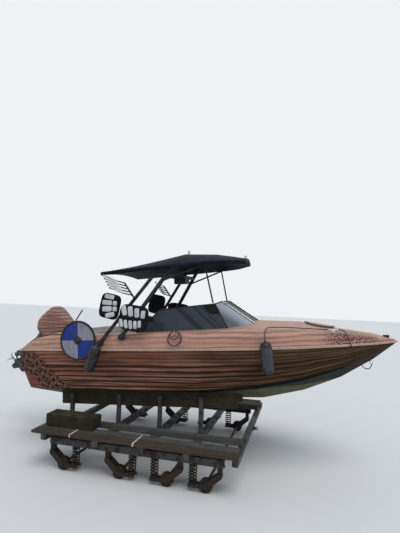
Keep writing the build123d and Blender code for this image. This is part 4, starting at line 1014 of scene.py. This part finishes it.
bench_pad = inflated("bench_pad_form", cushion_form(0.370, 0.565, 0.090, 0.034), 0.024)
sewn(bench_pad, [(0, 0.0)], 0.011, 0.012)
bench_back = inflated("bench_back_form", cushion_form(0.420, 0.565, 0.075, 0.030), 0.022)
sewn(bench_back, [(0, -0.07), (0, 0.07)], 0.010, 0.012)
for number, middle in enumerate((-0.585, 0.0, 0.585), start=1):
    leant = Matrix.Translation((0.928, middle, 1.110)) @ turned_over(-8.1) @ turned_over(90)
    for form_name, form, place in (
            ("pad", bench_pad, Matrix.Translation((1.140, middle, 0.790))),
            ("back", bench_back, leant)):
        made = piece(f"bench_{form_name}_{number}", form.copy(), seat_vinyl,
                     frame_of=boat_frame @ place)
        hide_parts("stern_bench")
bench_box = bmesh.new()
box_between(bench_box, (0.812, -0.878, 0.452), (1.310, 0.878, 0.735))
box_between(bench_box, (0.812, -0.878, 0.735), (0.900, 0.878, 1.345))
made = softened(piece("bench_base", bench_box, liner, smooth=True), 0.015, 3)


# Helm gear. Three round gauges and a dark display on the dash, and a throttle lever on the
# starboard side of the cockpit.
dial_face, tree, finish = shader("dial_face", Roughness=0.15)
speckle = between(tree, noise(tree, object_at(tree), 55.0, 2.0), 0.4, 0.7)
show(tree, finish, blend_colours(tree, speckle, (0.004, 0.005, 0.007, 1), (0.015, 0.02, 0.03, 1)))
gauges = bmesh.new()
dash_up = Vector((0.110, 0, 0.200)).normalized()
dash_out = Vector((-0.200, 0, 0.110)).normalized()
for middle in (-0.66, -0.48, -0.30):
    centre = Vector((3.850, middle, 1.130)) + dash_up * 0.182
    lathe(gauges, [(0.0, 0.004), (0.033, 0.004), (0.034, 0.007)], centre, dash_out, 32, 1)
    lathe(gauges, [(0.034, 0.007), (0.036, 0.011), (0.041, 0.011), (0.044, 0.007), (0.045, -0.006),
                   (0.0, -0.006)], centre, dash_out, 32, 0)
box_between(gauges, (3.948, 0.30, 1.325), (3.985, 0.62, 1.505), 1)
box_between(gauges, (3.985, 0.285, 1.318), (4.025, 0.635, 1.515), 2)
made = softened(piece("dash_gauges", gauges, [steel, dial_face, shell_black]), 0.003, 2)
throttle = bmesh.new()
box_between(throttle, (3.52, -0.897, 1.02), (3.66, -0.845, 1.20), 0)
lathe(throttle, [(0.0, 0.022), (0.028, 0.020), (0.034, 0.0), (0.0, 0.0)], (3.59, -0.845, 1.12),
      (0, 1, 0), 24, 1)
lathe(throttle, [(0.0, 0.0), (0.009, 0.0), (0.007, 0.130), (0.0, 0.130)], (3.59, -0.832, 1.12),
      (0.25, 0.05, 0.97), 16, 1)
lathe(throttle, [(0.0, 0.0), (0.012, 0.004), (0.020, 0.018), (0.022, 0.040), (0.016, 0.058),
                 (0.0, 0.064)], (3.622, -0.826, 1.245), (0.25, 0.05, 0.97), 20, 0)
made = softened(piece("throttle", throttle, [shell_black, steel]), 0.003, 2)


# Board racks. Five bent black tubes in each rack, welded to a stouter tube that is clamped to
# the tower's leg, with white foam sleeves on the tines.
foam_white, tree, finish = shader("foam_white", Roughness=0.8)
cells = noise(tree, object_at(tree), 420.0, 2.0)
soiled = dirtied(tree, (0.60, 0.61, 0.61, 1), (0.28, 0.27, 0.25, 1), 0.7, 9.0)
show(tree, finish, soiled["Color"], height=cells, depth=0.001)
rack_x, rack_y, rack_z = 2.010, 1.1256, 2.480
tines = []
for hand in (1, -1):
    for number in range(5):
        x, z = rack_x + number * 0.035, rack_z - number * 0.060
        tines.append([Vector((x + 0.260, hand * rack_y, z - 0.110)),
                      Vector((x + 0.090, hand * (rack_y + 0.040), z - 0.060)),
                      Vector((x - 0.040, hand * (rack_y + 0.150), z + 0.020)),
                      Vector((x - 0.060, hand * (rack_y + 0.300), z + 0.040))])


def rounded_route(points, steps=6):
    made = [points[0]]
    for before, corner, after in zip(points, points[1:], points[2:]):
        turn = (corner - before).angle(after - corner)
        shorter = min((corner - before).length, (after - corner).length)
        reach = 0.45 * shorter
        start = corner + (before - corner).normalized() * reach
        end = corner + (after - corner).normalized() * reach
        radius = reach / math.tan(turn / 2)
        inward = ((before - corner).normalized() + (after - corner).normalized()).normalized()
        centre = corner + inward * (radius / math.cos(turn / 2))
        for step in range(steps + 1):
            along = (start - centre).lerp(end - centre, step / steps)
            made.append(centre + along.normalized() * radius)
    return made + [points[-1]]


tine_routes = [rounded_route(points) for points in tines]
rack_rail = [(rack_x + 0.250, rack_y, rack_z - 0.110), (rack_x + 0.445, rack_y, rack_z - 0.410)]
for name, routes, radius in (("rack_tines", tine_routes, 0.012),
                             ("rack_rails", both_sides(rack_rail), 0.017)):
    made = strip_along(name, routes, radius, tower_black)
    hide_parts("board_racks")
sleeves = strip_along("rack_sleeves", [route[3:-4] + [route[-1].lerp(route[-2], 0.12)]
                                       for route in tine_routes], 0.0195, foam_white)


# Outboard. Cast brackets and leg in dark satin paint, and a cowling wrapped to match the hull
# with dark stripes along it, over a dark seal.
engine_frame = boat_frame @ Matrix.Translation((-0.150, 0, 0.925)) @ turned_over(50)
engine_metal = painted("engine_metal", (0.020, 0.021, 0.024, 1), (0.085, 0.085, 0.08, 1), 0.45,
                       5.0, (0.38, 0.65), 120.0, 0.001, Metallic=0.2)
dress(engine_metal, "engine_leg", "swivel_bracket", "clamp_bracket")

cowling_wood, tree, finish = shader("cowling_wood", Specular_IOR_Level=0.2)
along, side, outboard, up = on_boat(tree)
wrap = wrapped(tree, along, up, (0.33, 0.185, 0.145, 1), (0.13, 0.062, 0.048, 1),
               (0.30, 0.13, 0.09, 1), 4.5, 0.3)
stripes = math_node(tree, "PINGPONG", plus(tree, up, times(tree, along, 0.12)), 0.033)
striped = blend_colours(tree, times(tree, between(tree, stripes, 0.0075, 0.0035), 0.85),
                        wrap["Color"], (0.035, 0.018, 0.016, 1))
soiled = dirtied(tree, striped, (0.07, 0.05, 0.04, 1), 0.3, 3.0)
show(tree, finish, soiled["Color"], wrap["Roughness"], wrap["Height"], 0.0015, 0.5)
dress(cowling_wood, "cowling")

seal = bmesh.new()
seal_loops = []
for reach, height in ((0.005, 0.176), (0.009, 0.184), (0.009, 0.204), (0.004, 0.212)):
    turns = [math.tau * step / 64 for step in range(64)]
    seal_loops.append([seal.verts.new((-0.335 + bulge(math.cos(turn), 0.62) * (0.305 + reach),
                                       bulge(math.sin(turn), 0.62) * (0.200 + reach), height))
                       for turn in turns])
skin_rings(seal, seal_loops, 64)
seal.faces.new(list(reversed(seal_loops[0])))
box_between(seal, (-0.664, -0.030, 0.170), (-0.648, 0.030, 0.225))
made = piece("cowling_seal", seal, engine_metal, "outboard", frame_of=engine_frame)


# Carriage timbers. Two dark stacked baulks on each side carry the hull, green with moss; grey
# weathered beams and deck planks lie on the cross members, and a mossy block serves as a step.
floor_frame = Matrix.Translation((boat_place.x, 0, 0))
old_timber, tree, finish = shader("old_timber", Roughness=0.9, Specular_IOR_Level=0.2)
fibres = noise(tree, stretched(tree, (1.2, 26.0, 26.0)), 2.4, 8.0, 0.7)
timber = blend_colours(tree, between(tree, fibres, 0.35, 0.68), (0.010, 0.008, 0.006, 1),
                       (0.040, 0.033, 0.022, 1))
moss = between(tree, noise(tree, object_at(tree), 5.0, 8.0, 0.65), 0.42, 0.62)
moss = times(tree, moss, levels(tree, facing_up(tree), 0.35, 0.95, -0.2, 1.0))
timber = blend_colours(tree, moss, timber, (0.040, 0.042, 0.019, 1))
show(tree, finish, timber, height=plus(tree, fibres, times(tree, moss, 0.5)), depth=0.012)
dress(old_timber, "bunks", "step_block")

grey_timber, tree, finish = shader("grey_timber", Roughness=0.88, Specular_IOR_Level=0.2)
fibres = noise(tree, stretched(tree, (0.8, 34.0, 34.0)), 2.2, 9.0, 0.72)
worn = between(tree, fibres, 0.32, 0.66)
silvered = blend_colours(tree, worn, (0.030, 0.028, 0.026, 1), (0.105, 0.102, 0.098, 1))
browned = blend_colours(tree, worn, (0.020, 0.014, 0.011, 1), (0.072, 0.054, 0.042, 1))
from_keel = apart(tree, node(tree, "SeparateXYZ", {0: object_at(tree)}).outputs[1], 0.0)
planks = blend_colours(tree, over(tree, from_keel, 1.629), silvered, browned)
soiled = dirtied(tree, planks, (0.035, 0.036, 0.022, 1), 0.6, 3.0)
show(tree, finish, soiled["Color"], height=fibres, depth=0.008)
dress(grey_timber, "walkway", "long_beams")


# Carriage steel. Rolled channels and square tubes, once galvanised and now dull grey with rust
# that has run from the joints; the running gear under them is brown with it.
def rusted(name, clean, rust, amount, depth, metallic):
    made, tree, finish = shader(name, Metallic=metallic, Specular_IOR_Level=0.3)
    at = object_at(tree)
    patches = noise(tree, at, 7.0, 10.0, 0.68)
    pits = node(tree, "TexVoronoi", {"Vector": at, "Scale": 90.0}).outputs["Distance"]
    eaten = between(tree, patches, 0.62 - 0.34 * amount, 0.72 - 0.30 * amount)
    stained = dirtied(tree, blend_colours(tree, eaten, clean, rust), (0.035, 0.022, 0.014, 1),
                      0.45, 4.0)
    show(tree, finish, stained["Color"], levels(tree, eaten, 0.5, 0.9),
         plus(tree, patches, times(tree, pits, 0.25)), depth)
    return made


weathered_steel = rusted("weathered_steel", (0.050, 0.051, 0.052, 1), (0.032, 0.022, 0.017, 1),
                         0.45, 0.004, 0.0)
iron = rusted("iron", (0.014, 0.013, 0.012, 1), (0.036, 0.021, 0.013, 1), 0.6, 0.006, 0.1)
spring_steel = rusted("spring_steel", (0.024, 0.023, 0.022, 1), (0.034, 0.022, 0.015, 1), 0.5,
                      0.002, 0.3)
dress(weathered_steel, "bunk_posts", "cross_members", "tow_lug")
dress(iron, "arms", "hangers", "axle_1", "axle_2", "axle_3", "axle_4")

channel_profile = [(1.660, 0.440), (1.660, 0.560), (1.541, 0.560), (1.541, 0.551), (1.651, 0.549),
                   (1.651, 0.451), (1.541, 0.449), (1.541, 0.440)]
rolled = bmesh.new()
for hand in (1, -1):
    prism(rolled, *([(x, hand * y, z) for y, z in channel_profile] for x in (1.020, 4.250)))
made = softened(piece("rolled_channels", rolled, weathered_steel, frame_of=floor_frame), 0.003, 2,
                30)
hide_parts("channels")

axle_places = [(1.300, 1), (2.390, 1), (3.260, -1), (3.940, -1)]
axle_height, track_half = 0.112, 1.600
spring_radius, spring_turns = 0.062, 7
coils = []
for axle_x, spring_side in axle_places:
    for hand in (1, -1):
        coil_line = []
        for step in range(16 * spring_turns + 1):
            turns = step / 16
            rise = min(max((turns - 0.5) / (spring_turns - 1), 0.0), 1.0)
            coil_line.append((
                axle_x + spring_side * 0.230 + spring_radius * math.cos(math.tau * turns),
                hand * track_half + spring_radius * math.sin(math.tau * turns),
                0.1295 + rise * 0.299))
        coils.append(coil_line)
made = strip_along("coil_springs", coils, 0.0112, spring_steel, frame_of=floor_frame)
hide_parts("springs")

fastenings = bmesh.new()
post_places = (1.000, 2.010, 2.850, 3.650)
post_y = 0.936
for x in (*post_places, 4.410):
    for hand in (1, -1):
        for y in (1.800, 1.685, 1.573, 1.458, 1.170):
            top_of = 0.760 if y < 1.2 else 0.705
            lathe(fastenings, [(0.016, -0.001), (0.016, 0.002), (0.010, 0.007), (0.0, 0.009)],
                  (x + 0.012 * hand, hand * y, top_of), (0, 0, 1), 12)
for x in post_places:
    for y in (post_y, -post_y):
        box_between(fastenings, (x - 0.065, y - 0.060, 0.6603), (x + 0.065, y + 0.060, 0.6690))
        for dx in (-0.050, 0.050):
            for dy in (-0.046, 0.046):
                lathe(fastenings, [(0.010, 0.0), (0.010, 0.008), (0.006, 0.010), (0.0, 0.010)],
                      (x + dx, y + dy, 0.669), (0, 0, 1), 6)
made = piece("bolt_heads", fastenings, iron, smooth=False, frame_of=floor_frame)

for number, (axle_x, spring_side) in enumerate(axle_places, start=1):
    hubs = bmesh.new()
    for hand in (1, -1):
        for side in (1, -1):
            lathe(hubs, [(0.056, 0.0), (0.054, 0.006), (0.034, 0.008), (0.0255, 0.008)],
                  (axle_x, hand * track_half + side * 0.0445, axle_height), (0, side, 0), 32)
        lathe(hubs, [(0.0255, -0.012), (0.034, -0.012), (0.034, 0.002), (0.022, 0.006),
                     (0.0, 0.007)], (axle_x, hand * 1.695, axle_height), (0, hand, 0), 6)
        for step in range(5):
            turn = math.tau * step / 5
            lathe(hubs, [(0.008, 0.0), (0.008, 0.007), (0.0, 0.009)],
                  (axle_x + 0.043 * math.cos(turn), hand * 1.645,
                   axle_height + 0.043 * math.sin(turn)), (0, hand, 0), 6)
    made = piece(f"wheel_hubs_{number}", hubs, iron, f"axle_{number}", smooth=False,
                 frame_of=floor_frame)


# Lashings. Two white webbing straps hold the outer planks down on the near side.
webbing_white = woven("webbing_white", (0.50, 0.50, 0.48, 1), (0.20, 0.18, 0.14, 1), 0.8, 14.0,
                      1400.0, 0.0006, Roughness=0.85)
for number, x in enumerate((1.520, 2.715), start=1):
    strap = bmesh.new()
    round_planks = [(1.395, 0.6590), (1.395, 0.7075), (1.402, 0.7105), (1.845, 0.7105),
                    (1.8535, 0.7060), (1.8535, 0.6590), (1.845, 0.6560), (1.402, 0.6560)]
    prism(strap, *([(edge, -y, z) for y, z in round_planks] for edge in (x - 0.014, x + 0.014)),
          capped=False)
    made = piece(f"lashing_{number}", strap, webbing_white, frame_of=floor_frame)
    thick = made.modifiers.new("thickness", "SOLIDIFY")
    thick.thickness = 0.0024
    thick.offset = 0
